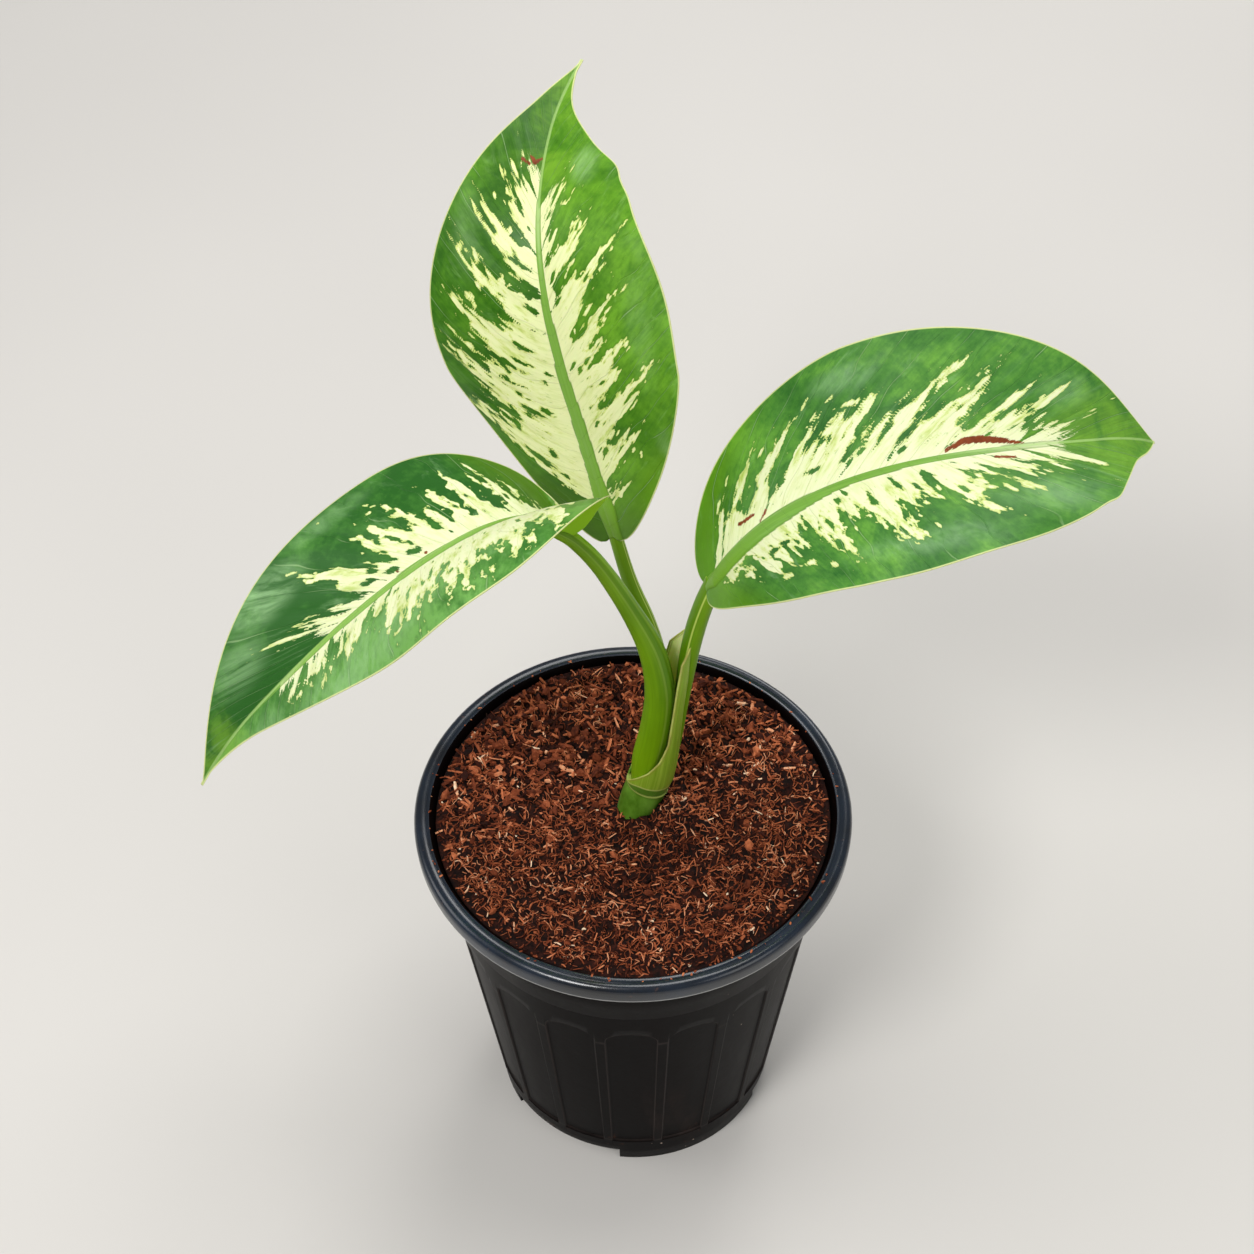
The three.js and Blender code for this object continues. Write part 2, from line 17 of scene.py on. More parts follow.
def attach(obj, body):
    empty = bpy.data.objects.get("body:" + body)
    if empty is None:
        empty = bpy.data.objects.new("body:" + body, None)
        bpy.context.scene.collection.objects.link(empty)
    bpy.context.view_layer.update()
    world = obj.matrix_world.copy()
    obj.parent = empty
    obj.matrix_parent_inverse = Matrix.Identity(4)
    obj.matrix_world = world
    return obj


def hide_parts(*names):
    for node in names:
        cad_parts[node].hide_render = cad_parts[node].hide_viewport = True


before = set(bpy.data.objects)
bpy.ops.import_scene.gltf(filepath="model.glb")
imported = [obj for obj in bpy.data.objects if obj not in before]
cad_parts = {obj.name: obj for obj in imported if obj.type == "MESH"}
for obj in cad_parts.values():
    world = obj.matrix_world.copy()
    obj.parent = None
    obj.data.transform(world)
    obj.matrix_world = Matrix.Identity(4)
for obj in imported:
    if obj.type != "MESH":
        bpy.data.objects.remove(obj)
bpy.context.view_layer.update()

MM = 0.001
BODY = "root"

# ---------------------------------------------------------------- driving dimensions

CAMERA = {
    "place": (-1.2, -439.2, 690.0),
    "elevation": 47.73,
    "roll": -0.61,
    "focal_pixels": 2400,         # of a picture 1254 pixels wide
    "picture": 1254,
    "sensor": 36,
}

POT = {
    "height": 127.5,
    "rim_radius": 64.97,
    "base_radius": 44,
    "neck_radius": 58.8,
    "neck_height": 121.5,
    "wall": 1.1,
    "floor": 6,
    "underside": 4.8,
    "pad_radius": 12,
    "pad_wall": 1.2,
    "foot_width": 1.6,
    "notch_height": 4.5,
    "foot_count": 3,
    "foot_start": -7,             # degrees from the front towards +X
    "foot_span": 68,
    "drain_count": 7,
    "drain_radius": 4,
    "drain_circle": 31,
    "foot_slope": 0.06,           # degrees that a foot's upright edges take up to each side
    "hem": 1.5,                   # out from the neck, where the lip and its own finish start
}
# The lip's top, from outside to inside: points (in from the rim, down from the pot's top).
LIP = [(3.0, 0.15), (3.6, 0.55), (4.1, 0.3), (4.5, 0.35), (4.9, 0.8), (5.4, 1.8), (6.6, 5)]
PANEL = {
    "count": 18,
    "first_rib": 8.7,
    "bottom": 13,
    "edge_step": 0.8,
    "spring": 82.5,
    "rise": 6.8,
    "depth": 0.6,
    "rib_half": 1.5,              # degrees
    "slope": 0.7,                 # degrees
    "band": 99.8,
    "band_step": 0.4,
    "crown_columns": 9,
}
SOIL = {
    "edge": 124.6,                # where it meets the pot, just under the lip
    "edge_radius": 58.6,
    "neck": 119.5,                # where the pot's wall passes into the lip
    "shoulder": 124.9,
    "middle": 119.5,
    "bowl": (14, 50),
    "edge_fall": (54.5, 58.6),
    "rise": 0.012,
    "heap": 6.5,
    "heap_at": (13, 0),
    "heap_radius": 16,
    "clearance": 0.3,
    "columns": 420,
    "rings": 96,
    "coarse": 1.5,                # height of the large lumps
    "fine": 0.6,                  # height of the small ones
    "hole_gap": 0.15,             # between the cane and the bed
    "hole_place": 0.72,           # where along the cane it meets the bed
    "bed_tint": (0.19, 0.16),     # middle and spread
    "side_tint": 0.2,
    "bed_shift": -0.06,           # of its tint in the finish
    "loose_shift": 0.03,
}
# Loose coir. Each kind: how many bits, how far out they lie, how far they keep from the cane, their
# sizes, and their tint as middle, spread and limits (for the bits on the rim only limits).
COIR = {
    "cane": (2.6, 7.2),
    "cane_radius": 6.3,
    "chips": {"count": 4096, "seed": 11, "sharp": 50, "outer": 57.6, "gap": 0.2,
              "tint": (0.5, 0.18, 0.08, 0.92), "darker_at_back": 0.06, "length": (1.0, 3.4),
              "longer_at_back": 2.2, "girth": (0.14, 0.34), "thicker_at_back": 0.42,
              "lift": (-0.1, 0.7), "tilt": 0.5, "bend": 1.2, "lowest": -0.6},
    "crumbs": {"count": 4096, "seed": 23, "sharp": 30, "outer": 58.2, "gap": 0.3,
               "tint": (0.33, 0.13, 0.03, 0.66), "large_share": 0.04, "more_at_back": 0.34,
               "large": (0.8, 2.1), "small": (0.25, 0.7), "white_share": 0.01, "white": (0.35, 0.6),
               "wall": 59, "lift": (-0.1, 0.45), "flat": (0.35, 0.8), "tilt": 0.6,
               "roughness": 0.7, "breadth": 0.62},
    "fibres": {"count": 2048, "seed": 37, "sharp": None, "outer": 54.5, "gap": 3.0,
               "tint": (0.56, 0.11, 0.3, 0.86), "length": (1.8, 6.0), "girth": (0.12, 0.24),
               "curl": (-3.2, 3.2), "wag": 0.35, "lift": (0.45, 0.35)},
    "rim_bits": {"count": 64, "seed": 51, "sharp": 30, "radius": (60.2, 61.6), "below_top": 0.62,
                 "breadth": (0.16, 0.42), "stretch": (0.8, 2.4), "tilt": 0.2, "tint": (0.35, 0.75),
                 "lift": 0.25},
}

# Centre line and radius of each stalk: (x, y, z, radius).
CANE = [
    (-0.6, 6.6, 84, 5.4), (-0.3, 6.4, 104, 5.8), (1.2, 6.6, 118.5, 5.9), (4.4, 8.2, 128.7, 6.3),
]
STALKS = {
    "left": [
        (3.7, 7.5, 128, 4.3), (4.6, 6.9, 142, 4.7), (6.9, 6.2, 158, 4.5), (7.9, 6, 174, 4.35),
        (5.5, 5.8, 191, 3.75), (-0.4, 5.3, 208, 2.85), (-7.8, 4.2, 225.4, 2.4),
        (-13.6, 2.3, 236.6, 2.2), (-18.2, 0.1, 243.4, 2.0), (-24.8, -2.7, 249.2, 1.2),
    ],
    "top": [
        (6.1, 11, 128, 1.9), (7.6, 10.4, 150, 2.1), (8.5, 10.5, 166, 2.3), (7.5, 12.4, 181, 2.35),
        (4.5, 15, 193, 2.25), (-0.4, 18.6, 206, 2.1), (-4.4, 23.4, 220, 1.9),
    ],
    "right": [
        (9.0, 8.3, 127.6, 1.3), (12.2, 8.1, 147, 1.9), (14.1, 8.1, 166, 2.2), (15.9, 8.1, 184, 2.7),
        (17.8, 8, 197, 2.8), (20.1, 7.6, 208, 2.7), (22.6, 7.2, 217, 2.5),
    ],
}
# Sheath: height, middle and half axes of its oval, lean to +X and +Y, and its two edges in degrees.
SHEATH = [
    (129.1, 4.4, 8.2, 5.95, 5.95, 17.4, 8.9, -172, 160),
    (134, 5.5, 7.9, 6.5, 6.1, 13, 7, -142, 140),
    (140, 6.3, 7.6, 6.6, 6.1, 9, 4, -108, 125),
    (146, 7.0, 7.4, 6.5, 6.1, 6, 2, -84, 115),
    (154, 7.9, 7.3, 6.0, 6.1, 5, 0, -67, 108),
    (166, 9.0, 7.3, 5.7, 6.1, 5, 0, -64, 104),
    (178, 10.4, 7.4, 5.5, 5.8, 5, 0, -66, 104),
    (187, 12.0, 7.7, 4.6, 4.9, 5, 0, -66, 106),
    (193, 13.6, 7.9, 3.6, 3.7, 5, 0, -36, 72),
]
SHEATH_SKIN = {"wall": 0.5, "border": 0.62, "border_width": 0.5, "rows": 120, "columns": 90,
               "crowding": 0.45}

# What the three blades share.
BLADE = {
    "rows": 304,
    "columns": 160,
    "lobe_length": 0.06,
    "corner_length": 0.02,        # rounding of a lobe's end
    "sink_length": 0.05,
    "rib_height": 2.2,
    "rib_width": 1.9,
    "rib_fade": 0.8,
    "wave_start": 0.15,
    "wave_end": 0.8,
    "point_width": 0.4,           # least half width, at the very tip
    "bend_start": 0.86,
    "thick": 0.36,                # half thickness in the middle
    "thin": 0.16,                 # half thickness at the margin
    "vein_pitch": 6.5,
    "vein_relief": 0.07,
    "swell": 0.35,                # soft unevenness of the whole blade
    "crown_share": 0.16,          # height of the midrib's band, of its width
    "row_crowding": 0.45,         # towards base and tip
    "column_crowding": 0.4,       # towards the margins
    "lobe_rounding": 0.42,
    "cut_slope": 8,               # how steeply the pale zone's cuts and blobs begin
    "spot_slope": 3.5,            # how steeply its drops and holes begin
}
# Noise that frays the pale zone: (height, mm across the veins, mm along them, seed).
FRAY = {
    "wobble": [(1.3, 3, 2.2, 1.5), (0.7, 1.3, 1, 2.5)],
    "fingers": [(9, 1.7, 7, 3.5), (3, 1.1, 3, 4.5)],
    "cuts": [(1, 1.3, 3, 5.5)],
    "blobs": [(1, 1, 1.8, 6.5)],
}

# Each blade, as the part's source builds it, with what its upper face shows: the midrib's band
# (place along the midrib, its left and right edge), how the side veins lean (place along the
# midrib, slope and bend), how far the pale zone reaches along the veins, pale drops beyond it and
# green holes in it (place, negative on the left half, distance from the midrib, half sizes), scars,
# each a line through points (place along the midrib, distance to the right, half width), and pale
# patches, mostly painted sheen and highlights, with one whitish residue mark on the right leaf
# (place along the midrib, distance to the right, half length, half width, strength).
LEAVES = {
    "left": {
        "midrib": [(-17, 0, 248), (-41, -9, 265), (-78, -21, 234), (-117, -32, 185)],
        "face_base": (136, 63), "face_tip": (-73, 53), "sink": 7, "keel_in": 9, "tip_bend": (0.4, -1.2, -3.2),
        "left": {"reach": 34.5, "widest": 0.25, "base": 1.9, "tip": 1.8, "taper": 1.5, "root": 7.5,
                 "fold": (0.88, 0.2), "curl": (0.031, 0.005), "lobe": 7, "wave": (0.6, 3, 0.4), "edge": []},
        "right": {"reach": 34.5, "widest": 0.45, "base": 1.74, "tip": 2.3, "taper": 1.2, "root": 6.5,
                  "fold": (0.4, 0.1), "curl": (0.005, 0.025), "lobe": 5, "wave": (0.6, 2.5, 2), "edge": []},
        "band": [(0, -1.5, 1.2), (12, -3.5, 1), (25, -5.5, 1), (35, -4.2, 0.8), (50, -2.8, 0.5),
                 (70, -1.8, 0.3), (100, -0.8, 0.3), (128, -0.2, 0.2)],
        "lean_left": [(0, 0.05, 0), (30, 0.1, 0), (45, 0.3, 0), (60, 0.6, 0), (75, 0.9, 0), (130, 2, 0)],
        "lean_right": [(0, 0.5, 0), (20, 0.42, 0), (30, 0.6, 0), (40, 0.9, 0), (55, 1.4, 0), (70, 3, 0),
                       (130, 4, 0)],
        "pale_left": [(2, 0), (8, 20), (10, 26), (12, 28), (13, 22), (16, 30), (18, 31), (19, 25),
                      (21, 22), (23, 29), (24, 30), (25, 22), (28, 28), (29.5, 22), (32, 28), (33, 17),
                      (35, 20), (37.5, 16), (39, 23), (43, 18), (47, 19), (48, 12), (49, 7), (51, 9),
                      (55, 5), (60, 10), (64, 6), (66, 4), (69, 9), (71, 6), (80, 5), (92, 2), (95, 0)],
        "pale_right": [(0, 0), (2, 5), (4, 9), (5.5, 14), (6.5, 8), (10, 19), (11, 12), (12.5, 6),
                       (14.5, 10), (18, 20), (20, 9), (21, 6), (23.5, 19), (25, 9), (27, 14), (29, 8),
                       (31, 20), (33, 12), (35, 17), (37, 8), (38.5, 18), (40, 10), (43, 5), (46, 8),
                       (49.5, 19), (51, 10), (54, 4), (56, 2), (62, 4), (66, 5), (70, 2), (75, 0)],
        "drops": [(-45, 20, 1, 0.5), (-48, 17, 0.6, 0.8), (-28, 29.5, 0.6, 0.6), (12, 17.5, 0.5, 2.4),
                  (22, 12, 0.4, 1.2), (24, 17, 0.4, 1.2), (33, 22, 0.5, 0.5), (35, 17.5, 0.5, 0.8),
                  (39, 17.5, 0.5, 0.8), (49, 17, 0.5, 2)],
        "holes": [(-15, 25, 0.6, 2), (-22, 23, 0.8, 3), (-26, 26, 1.3, 2), (-29.5, 25, 0.6, 2),
                  (-36, 12, 0.5, 2.4), (-37, 19, 0.8, 2), (-42, 12, 0.5, 2), (-50, 9, 1, 1.2),
                  (-57, 7, 0.8, 1.5), (4.5, 8, 0.6, 2), (7.5, 10, 0.6, 3), (13.5, 10, 0.9, 3),
                  (20.5, 7, 0.8, 2), (29, 8, 0.9, 2.6), (38, 4, 1.6, 1.2), (45.5, 3, 1.5, 1),
                  (51, 4.5, 1.6, 1)],
        "scars": [[(38.6, 1.8, 0.5)], [(47.5, 1.8, 0.5)]],
        "haze": [(84, 21, 15, 7, 1), (100, 11, 12, 6, 0.6), (106, -8, 14, 6, 0.6), (60, 29, 14, 4, 0.5),
                 (70, -16, 60, 9, 0.6)],
    },
    "top": {
        "midrib": [(-4, 22, 220), (-20, 39, 279), (-32, 43, 306), (-14, 103, 317)],
        "face_base": (-132, 25), "face_tip": (-102, 39), "sink": 0, "keel_in": 0, "tip_bend": (2.4, 1, 0.7),
        "left": {"reach": 34.5, "widest": 0.35, "base": 1.4, "tip": 2.6, "taper": 1.5, "root": 5,
                 "fold": (0.2, 0.2), "curl": (0.01, 0.01), "lobe": 3.5, "wave": (0.7, 2.5, 1),
                 "edge": [(0.95, 0.7, 0.04)]},
        "right": {"reach": 35, "widest": 0.3, "base": 1.4, "tip": 2.7, "taper": 1.5, "root": 2.5,
                  "fold": (0.25, 0.2), "curl": (0.015, 0.005), "lobe": 1.5, "wave": (0.9, 3, 2.6),
                  "edge": [(0.91, -1.7, 0.055), (0.78, 2.5, 0.035), (0.71, 1.2, 0.05)]},
        "band": [(0, -2, 3), (10, -3, 4), (20, -2.2, 2.6), (35, -1.8, 2.6), (50, -1.7, 1.5),
                 (80, -0.8, 0.6), (100, -0.3, 0.4), (137, -0.2, 0.2)],
        "lean_left": [(0, 0.6, 0.01), (15, 0.6, 0.012), (30, 0.35, 0.016), (45, 0.2, 0.02), (60, 0.45, 0.02),
                      (75, 0.7, 0.02), (85, 1.1, 0.01), (95, 2.2, 0), (135, 3, 0)],
        "lean_right": [(0, 0.9, 0), (20, 0.9, 0), (40, 0.78, 0), (55, 0.8, 0), (65, 1, 0), (75, 1.4, 0),
                       (85, 2, 0), (135, 3, 0)],
        "pale_left": [(7, 0), (8.5, 5), (10.5, 12), (12, 20), (13, 27), (16, 29), (20, 28), (21.5, 22),
                      (27, 21), (30, 19), (31.5, 24), (35, 29), (40, 29.5), (41.5, 16), (43, 25),
                      (44.5, 28), (46, 21), (48, 21), (49, 24), (54, 24.5), (55.5, 20), (57, 17), (59, 13),
                      (61, 6), (62, 14), (64, 19), (66, 17), (68, 19), (69, 9), (71, 4), (75, 11),
                      (80, 14), (81, 5), (83, 3), (86, 5), (89, 7), (92, 4), (95, 6), (99, 3), (104, 1.5),
                      (107, 0)],
        "pale_right": [(7, 0), (8, 13), (9, 5), (13.5, 4.5), (15, 12), (16, 20), (18, 13), (20, 14),
                       (22, 9), (23, 7), (25.5, 22), (27, 24), (29, 27), (30.5, 20), (31.5, 14), (33, 12),
                       (37, 14), (41, 20), (42.5, 23), (44, 10), (46, 15), (48, 9), (52, 17), (54, 20),
                       (55.5, 9), (57, 7), (60, 14), (63.5, 20), (65.5, 7), (66.5, 5), (70, 9), (74, 13),
                       (75, 4), (77, 2), (80, 9), (83, 3), (89, 5), (91, 3), (97, 0)],
        "drops": [(-17, 27.5, 2.5, 1.2), (-37, 27.5, 2.6, 1), (-58, 20, 0.6, 0.6), (-62, 18, 0.6, 0.8),
                  (-52, 22, 0.6, 0.9), (-67.5, 17.5, 1, 0.8), (-79, 12.5, 0.8, 0.7), (-84, 12, 0.7, 0.5),
                  (8, 11, 0.5, 2), (11, 18.5, 0.9, 0.5), (14, 16.5, 0.6, 0.8), (24, 20.5, 0.6, 1.6),
                  (28.5, 26.5, 0.6, 1), (41, 22, 0.5, 0.8), (55, 19, 0.5, 0.5), (57, 12.5, 0.5, 1.6),
                  (72.5, 12.5, 0.8, 0.6)],
        "holes": [(-14.5, 15, 1.5, 3.4), (-20.5, 10.5, 1.6, 1), (-24, 18.5, 2.6, 0.9),
                  (-29, 17.5, 1.8, 1.1), (-34.5, 12, 1, 3), (-37, 8, 1, 1.6), (-38.5, 14.5, 0.8, 1),
                  (-42, 16.5, 1, 1), (-44, 22, 0.8, 1.5), (-47.5, 16, 0.7, 5), (-50, 11, 0.5, 3),
                  (-56, 14, 0.5, 1), (-66, 4, 1, 2), (-72, 4, 1, 3), (-76, 5, 0.6, 2.4), (22, 7, 1, 1.2),
                  (23.5, 9, 0.9, 0.8), (30.5, 7, 0.7, 1), (34, 10, 0.6, 1.2), (47, 9, 0.5, 1.6),
                  (49, 12, 0.4, 1.6), (58, 11, 0.5, 1.4), (66, 4, 0.6, 1.2), (72, 3.5, 0.8, 1),
                  (77, 5, 0.8, 2)],
        "scars": [[(108.4, -0.6, 0.3), (107.2, -2.2, 0.7), (108.6, -3.4, 0.4)],
                  [(106.6, -3.6, 0.3), (107.8, -5.8, 0.5)]],
        "haze": [(106, 12, 6, 4, 0.8), (90, -20, 12, 4, 0.4), (30, 27, 5, 3, 0.5), (60, 26, 16, 4, 0.3)],
    },
    "right": {
        "midrib": [(21, 7, 216), (43, 10, 269), (109, 6, 265), (137, 22, 256)],
        "face_base": (-100, 87), "face_tip": (-62, 61), "sink": 0, "keel_in": 0, "tip_bend": (1.1, -1.2, -2),
        "left": {"reach": 35.5, "widest": 0.4, "base": 1.6, "tip": 2.8, "taper": 1.1, "root": 3,
                 "fold": (0.25, 0.2), "curl": (0, -0.005), "lobe": 2, "wave": (0.6, 2.5, 0.5), "edge": []},
        "right": {"reach": 35, "widest": 0.35, "base": 1.6, "tip": 2.3, "taper": 1, "root": 4,
                  "fold": (0.25, 0.2), "curl": (0.01, 0), "lobe": 2.5, "wave": (0.8, 3.5, 1.2),
                  "edge": [(0.92, -1.9, 0.035), (0.845, 1.3, 0.022), (0.8, 0.7, 0.06)]},
        "band": [(0, -1.5, 2), (5, -0.5, 5.5), (12, -0.5, 6.5), (25, -0.5, 6), (35, -0.5, 5),
                 (50, -0.5, 2.3), (60, -0.5, 1.8), (80, -0.5, 1.2), (105, -0.5, 0.8), (134, -0.2, 0.2)],
        "lean_left": [(0, 0.8, 0), (10, 0.9, 0), (35, 1, 0), (60, 1.15, 0), (75, 1.25, 0), (95, 1.9, 0),
                      (105, 3.5, 0), (135, 4, 0)],
        "lean_right": [(0, 0.6, 0), (25, 0.6, 0), (40, 0.4, 0), (60, 0.45, 0), (72, 0.8, 0), (85, 1.8, 0),
                       (95, 2.3, 0), (135, 3, 0)],
        "pale_left": [(4, 0), (6, 7), (7.5, 12), (8.5, 5), (10, 7), (11, 10), (13, 18), (15, 12),
                      (17.5, 6), (19.5, 9), (20, 16), (22.5, 20), (24, 15), (25, 8), (27, 4), (28.5, 5),
                      (29.5, 16), (32, 17), (34, 17), (35.5, 12), (38, 15), (41, 18), (43.5, 22), (45, 17),
                      (46, 9), (47.5, 6), (49, 6), (51, 14), (52, 17), (53.5, 12), (55.5, 20), (57.5, 23),
                      (59, 22), (60.5, 9), (62.5, 6), (65, 15), (69, 20), (70.5, 15), (72, 17), (73.5, 11),
                      (76, 4), (80, 14), (82, 12), (84, 8), (88, 12), (90, 4), (99, 4), (102, 2.5),
                      (108, 1.5), (112, 0)],
        "pale_right": [(4, 0), (6, 9), (8, 11), (9, 7.5), (11, 8), (11.5, 15), (13, 13), (16, 9), (18, 19),
                       (19.5, 18), (20, 10), (21.5, 19), (25, 16), (28.5, 20), (31, 14), (34.5, 10),
                       (36, 10), (37.5, 16), (39.5, 22), (42, 25), (43, 24), (43.7, 12), (45, 14),
                       (46.5, 8.5), (48, 8.5), (50.5, 12), (54, 22), (57, 24), (59, 21), (60, 14),
                       (64, 13), (65, 9), (66.5, 13), (69, 9), (73, 19), (74, 14), (76, 6), (80, 11),
                       (82, 11), (85, 5), (88, 6), (89.5, 4), (94, 7), (95, 3), (101, 6), (103, 2),
                       (108, 1.5), (111, 0)],
        "drops": [(-24, 24.5, 0.5, 1.5), (-38, 20, 2.2, 0.7), (-17, 18, 0.6, 1), (-5.5, 13, 0.5, 1.5),
                  (-7, 17, 0.4, 1.2), (-29, 20, 0.6, 1.2), (-31, 23, 0.5, 0.8), (-80, 16, 0.5, 0.8),
                  (5, 8, 0.5, 0.6), (9, 10, 1, 0.9), (11, 13.5, 0.8, 1), (18.5, 22.5, 1.6, 1.1),
                  (26.5, 22.5, 2, 1), (32.5, 26, 1.3, 1.2), (38, 20, 0.7, 2), (41.5, 23, 0.8, 2.5),
                  (46, 17, 0.4, 1), (52, 17, 0.6, 3), (57.5, 24.5, 0.8, 0.8), (58, 19.5, 0.5, 1),
                  (62, 22, 0.4, 1), (67, 13, 0.4, 1.6), (70, 16, 0.5, 1), (72, 18, 0.9, 2.6),
                  (77, 13, 0.5, 1.6)],
        "holes": [(-18, 9, 1.6, 3.2), (-24, 13, 0.9, 3), (-26.5, 6, 0.9, 1.6), (-39, 6, 1.5, 0.7),
                  (-36, 12.5, 0.9, 1.2), (-47.5, 8, 1.5, 2.6), (-51, 6.5, 0.7, 1.2), (-61, 8, 1.4, 2.6),
                  (-63.5, 4, 0.9, 0.9), (-78, 12, 0.7, 1.5), (-84, 4, 0.6, 1.2), (22, 12.5, 1.6, 0.9),
                  (26, 12, 1.5, 0.8), (29, 14, 0.7, 1.2), (41, 13, 0.6, 2.5), (43, 18, 0.5, 1.6),
                  (62, 6, 0.7, 2.6), (65, 8.5, 0.6, 1.6), (72, 12, 0.6, 1.2), (80, 8, 0.5, 1.6)],
        "scars": [[(79, -1.4, 0.4), (84, -3.3, 0.9), (88, -3.2, 1), (93, -2.3, 0.8), (99, -0.9, 0.25)],
                  [(19.8, -4.3, 0.5), (24.8, -3.9, 0.4)], [(26, -1, 0.3), (29, -3, 0.3)],
                  [(91, 2.6, 0.4), (96, 3.4, 0.4)]],
        "haze": [(58, -27, 9, 4, 0.5), (104, 16, 14, 6, 0.5), (70, 26, 20, 4, 0.5), (112, -14, 8, 5, 0.4)],
    },
}

RIGHT_GROOVE = (115, 205)         # degrees round the right stalk, from its right side past its front
# Each stalk's tube, the angles of its channel's two edges, and how pale they are.
STALK_MESH = {
    "left": {"sides": 48, "steps": 150, "groove": (22, 62), "ridge_share": 0.14},
    "top": {"sides": 32, "steps": 120, "groove": (10, 34), "ridge_share": 0.7},
    "right": {"sides": 48, "steps": 120, "groove": RIGHT_GROOVE, "ridge_share": 0.7},
}
CANE_MESH = {"sides": 48, "steps": 60, "ring_height": 0.035, "ring_width": 0.018}

# Soft lights: place and width in metres, power in watts. All of them face the plant's middle.
LIGHTS = {
    "front softbox": ((-0.55, -0.8, 1.35), 0.5, 13),
    "overhead softbox": ((0.2, 0.3, 1.5), 0.8, 9),
    "left softbox": ((-1.3, 0.1, 0.9), 0.8, 4),
    "right softbox": ((1.0, -0.9, 0.7), 0.8, 3),
    "back softbox": ((0.35, 1.1, 0.8), 0.6, 4),
}
LIGHT_AIM = (0, 0, 0.18)
SKY = {"colour": (0.93, 0.96, 1.0, 1), "strength": 0.3}
FLOOR_RADIUS = 6                  # metres

# ---------------------------------------------------------------- small helpers


def smooth(x, low, high):
    """Smooth step from 0 to 1 as x goes from low to high."""
    s = np.clip((x - low) / (high - low), 0, 1)
    return s * s * (3 - 2 * s)


def lerp(a, b, share):
    return a + (b - a) * share


def unit(vectors):
    return vectors / np.linalg.norm(vectors, axis=-1, keepdims=True)


def colour(red, green, blue):
    """A colour given in 0 to 255 as a screen shows it."""
    def linear(level):
        level /= 255
        return level / 12.92 if level <= 0.04045 else ((level + 0.055) / 1.055) ** 2.4
    return linear(red), linear(green), linear(blue), 1


def crowd(places, share):
    """Places from -1 to 1, drawn together towards both ends."""
    return (1 - share) * places + share * np.sin(places * math.pi / 2)


def run_length(line):
    """Distance along a line of points, from its start."""
    return np.concatenate([[0], np.cumsum(np.linalg.norm(np.diff(line, axis=0), axis=1))])


def add_mesh(bm, name):
    """Puts a bmesh into the scene as an object at the origin."""
    mesh = bpy.data.meshes.new(name)
    bm.to_mesh(mesh)
    bm.free()
    piece = bpy.data.objects.new(name, mesh)
    bpy.context.scene.collection.objects.link(piece)
    return piece


def finish_mesh(bm, name, material, sharp_degrees=None, node=None):
    """Turns a bmesh in millimetres into a smooth-shaded piece of the object in metres."""
    bmesh.ops.scale(bm, vec=(MM, MM, MM), verts=bm.verts)
    bmesh.ops.recalc_face_normals(bm, faces=bm.faces)
    for face in bm.faces:
        face.smooth = True
    piece = add_mesh(bm, name)
    if sharp_degrees is not None:
        piece.data.set_sharp_from_angle(angle=math.radians(sharp_degrees))
    piece.data.materials.append(material)
    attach(piece, BODY)
    if node:
        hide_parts(node)
    return piece


def sheet(rows, columns):
    """A closed grid of two layers from -1 to 1, where each vertex lies in it, and whether it is in
    the lower layer."""
    bm = bmesh.new()
    bmesh.ops.create_grid(bm, x_segments=rows, y_segments=columns, size=1)
    copied = bmesh.ops.extrude_face_region(bm, geom=bm.faces[:], use_keep_orig=True)["geom"]
    lower = {item for item in copied if isinstance(item, bmesh.types.BMVert)}
    verts = bm.verts[:]
    return bm, np.array([vert.co for vert in verts]), np.array([vert in lower for vert in verts])


def tube(sides, steps):
    """A capped cylinder of radius 1 from z = -0.5 to 0.5, divided along its length."""
    bm = bmesh.new()
    bmesh.ops.create_cone(bm, cap_ends=True, segments=sides, radius1=1, radius2=1, depth=1)
    long_edges = [e for e in bm.edges if abs(e.verts[0].co.z - e.verts[1].co.z) > 0.5]
    bmesh.ops.subdivide_edges(bm, edges=long_edges, cuts=steps - 1, use_grid_fill=True)
    return bm


def spun_rows(rows, columns):
    """A closed surface spun round Z. Its rows lie 1 apart, so that a vertex tells its row and column."""
    bm = bmesh.new()
    line = [bm.verts.new((0 if i in (0, rows - 1) else 1, 0, i)) for i in range(rows)]
    edges = [bm.edges.new(pair) for pair in zip(line, line[1:])]
    bmesh.ops.spin(bm, geom=line + edges, cent=(0, 0, 0), axis=(0, 0, 1), angle=2 * math.pi,
                   steps=columns, use_merge=True, use_duplicate=False)
    bmesh.ops.remove_doubles(bm, verts=bm.verts, dist=1e-5)
    return bm


def settle(bm, places, **values):
    """Moves every vertex to its place and gives it its values, each in a layer of its own name."""
    kinds = bm.verts.layers
    layers = {name: (kinds.float_vector if data.ndim > 1 else kinds.float).new(name)
              for name, data in values.items()}
    columns = [(layers[name], data.tolist()) for name, data in values.items()]
    for i, vert in enumerate(bm.verts):
        vert.co = places[i]
        for layer, data in columns:
            vert[layer] = data[i]


# ---------------------------------------------------------------- materials


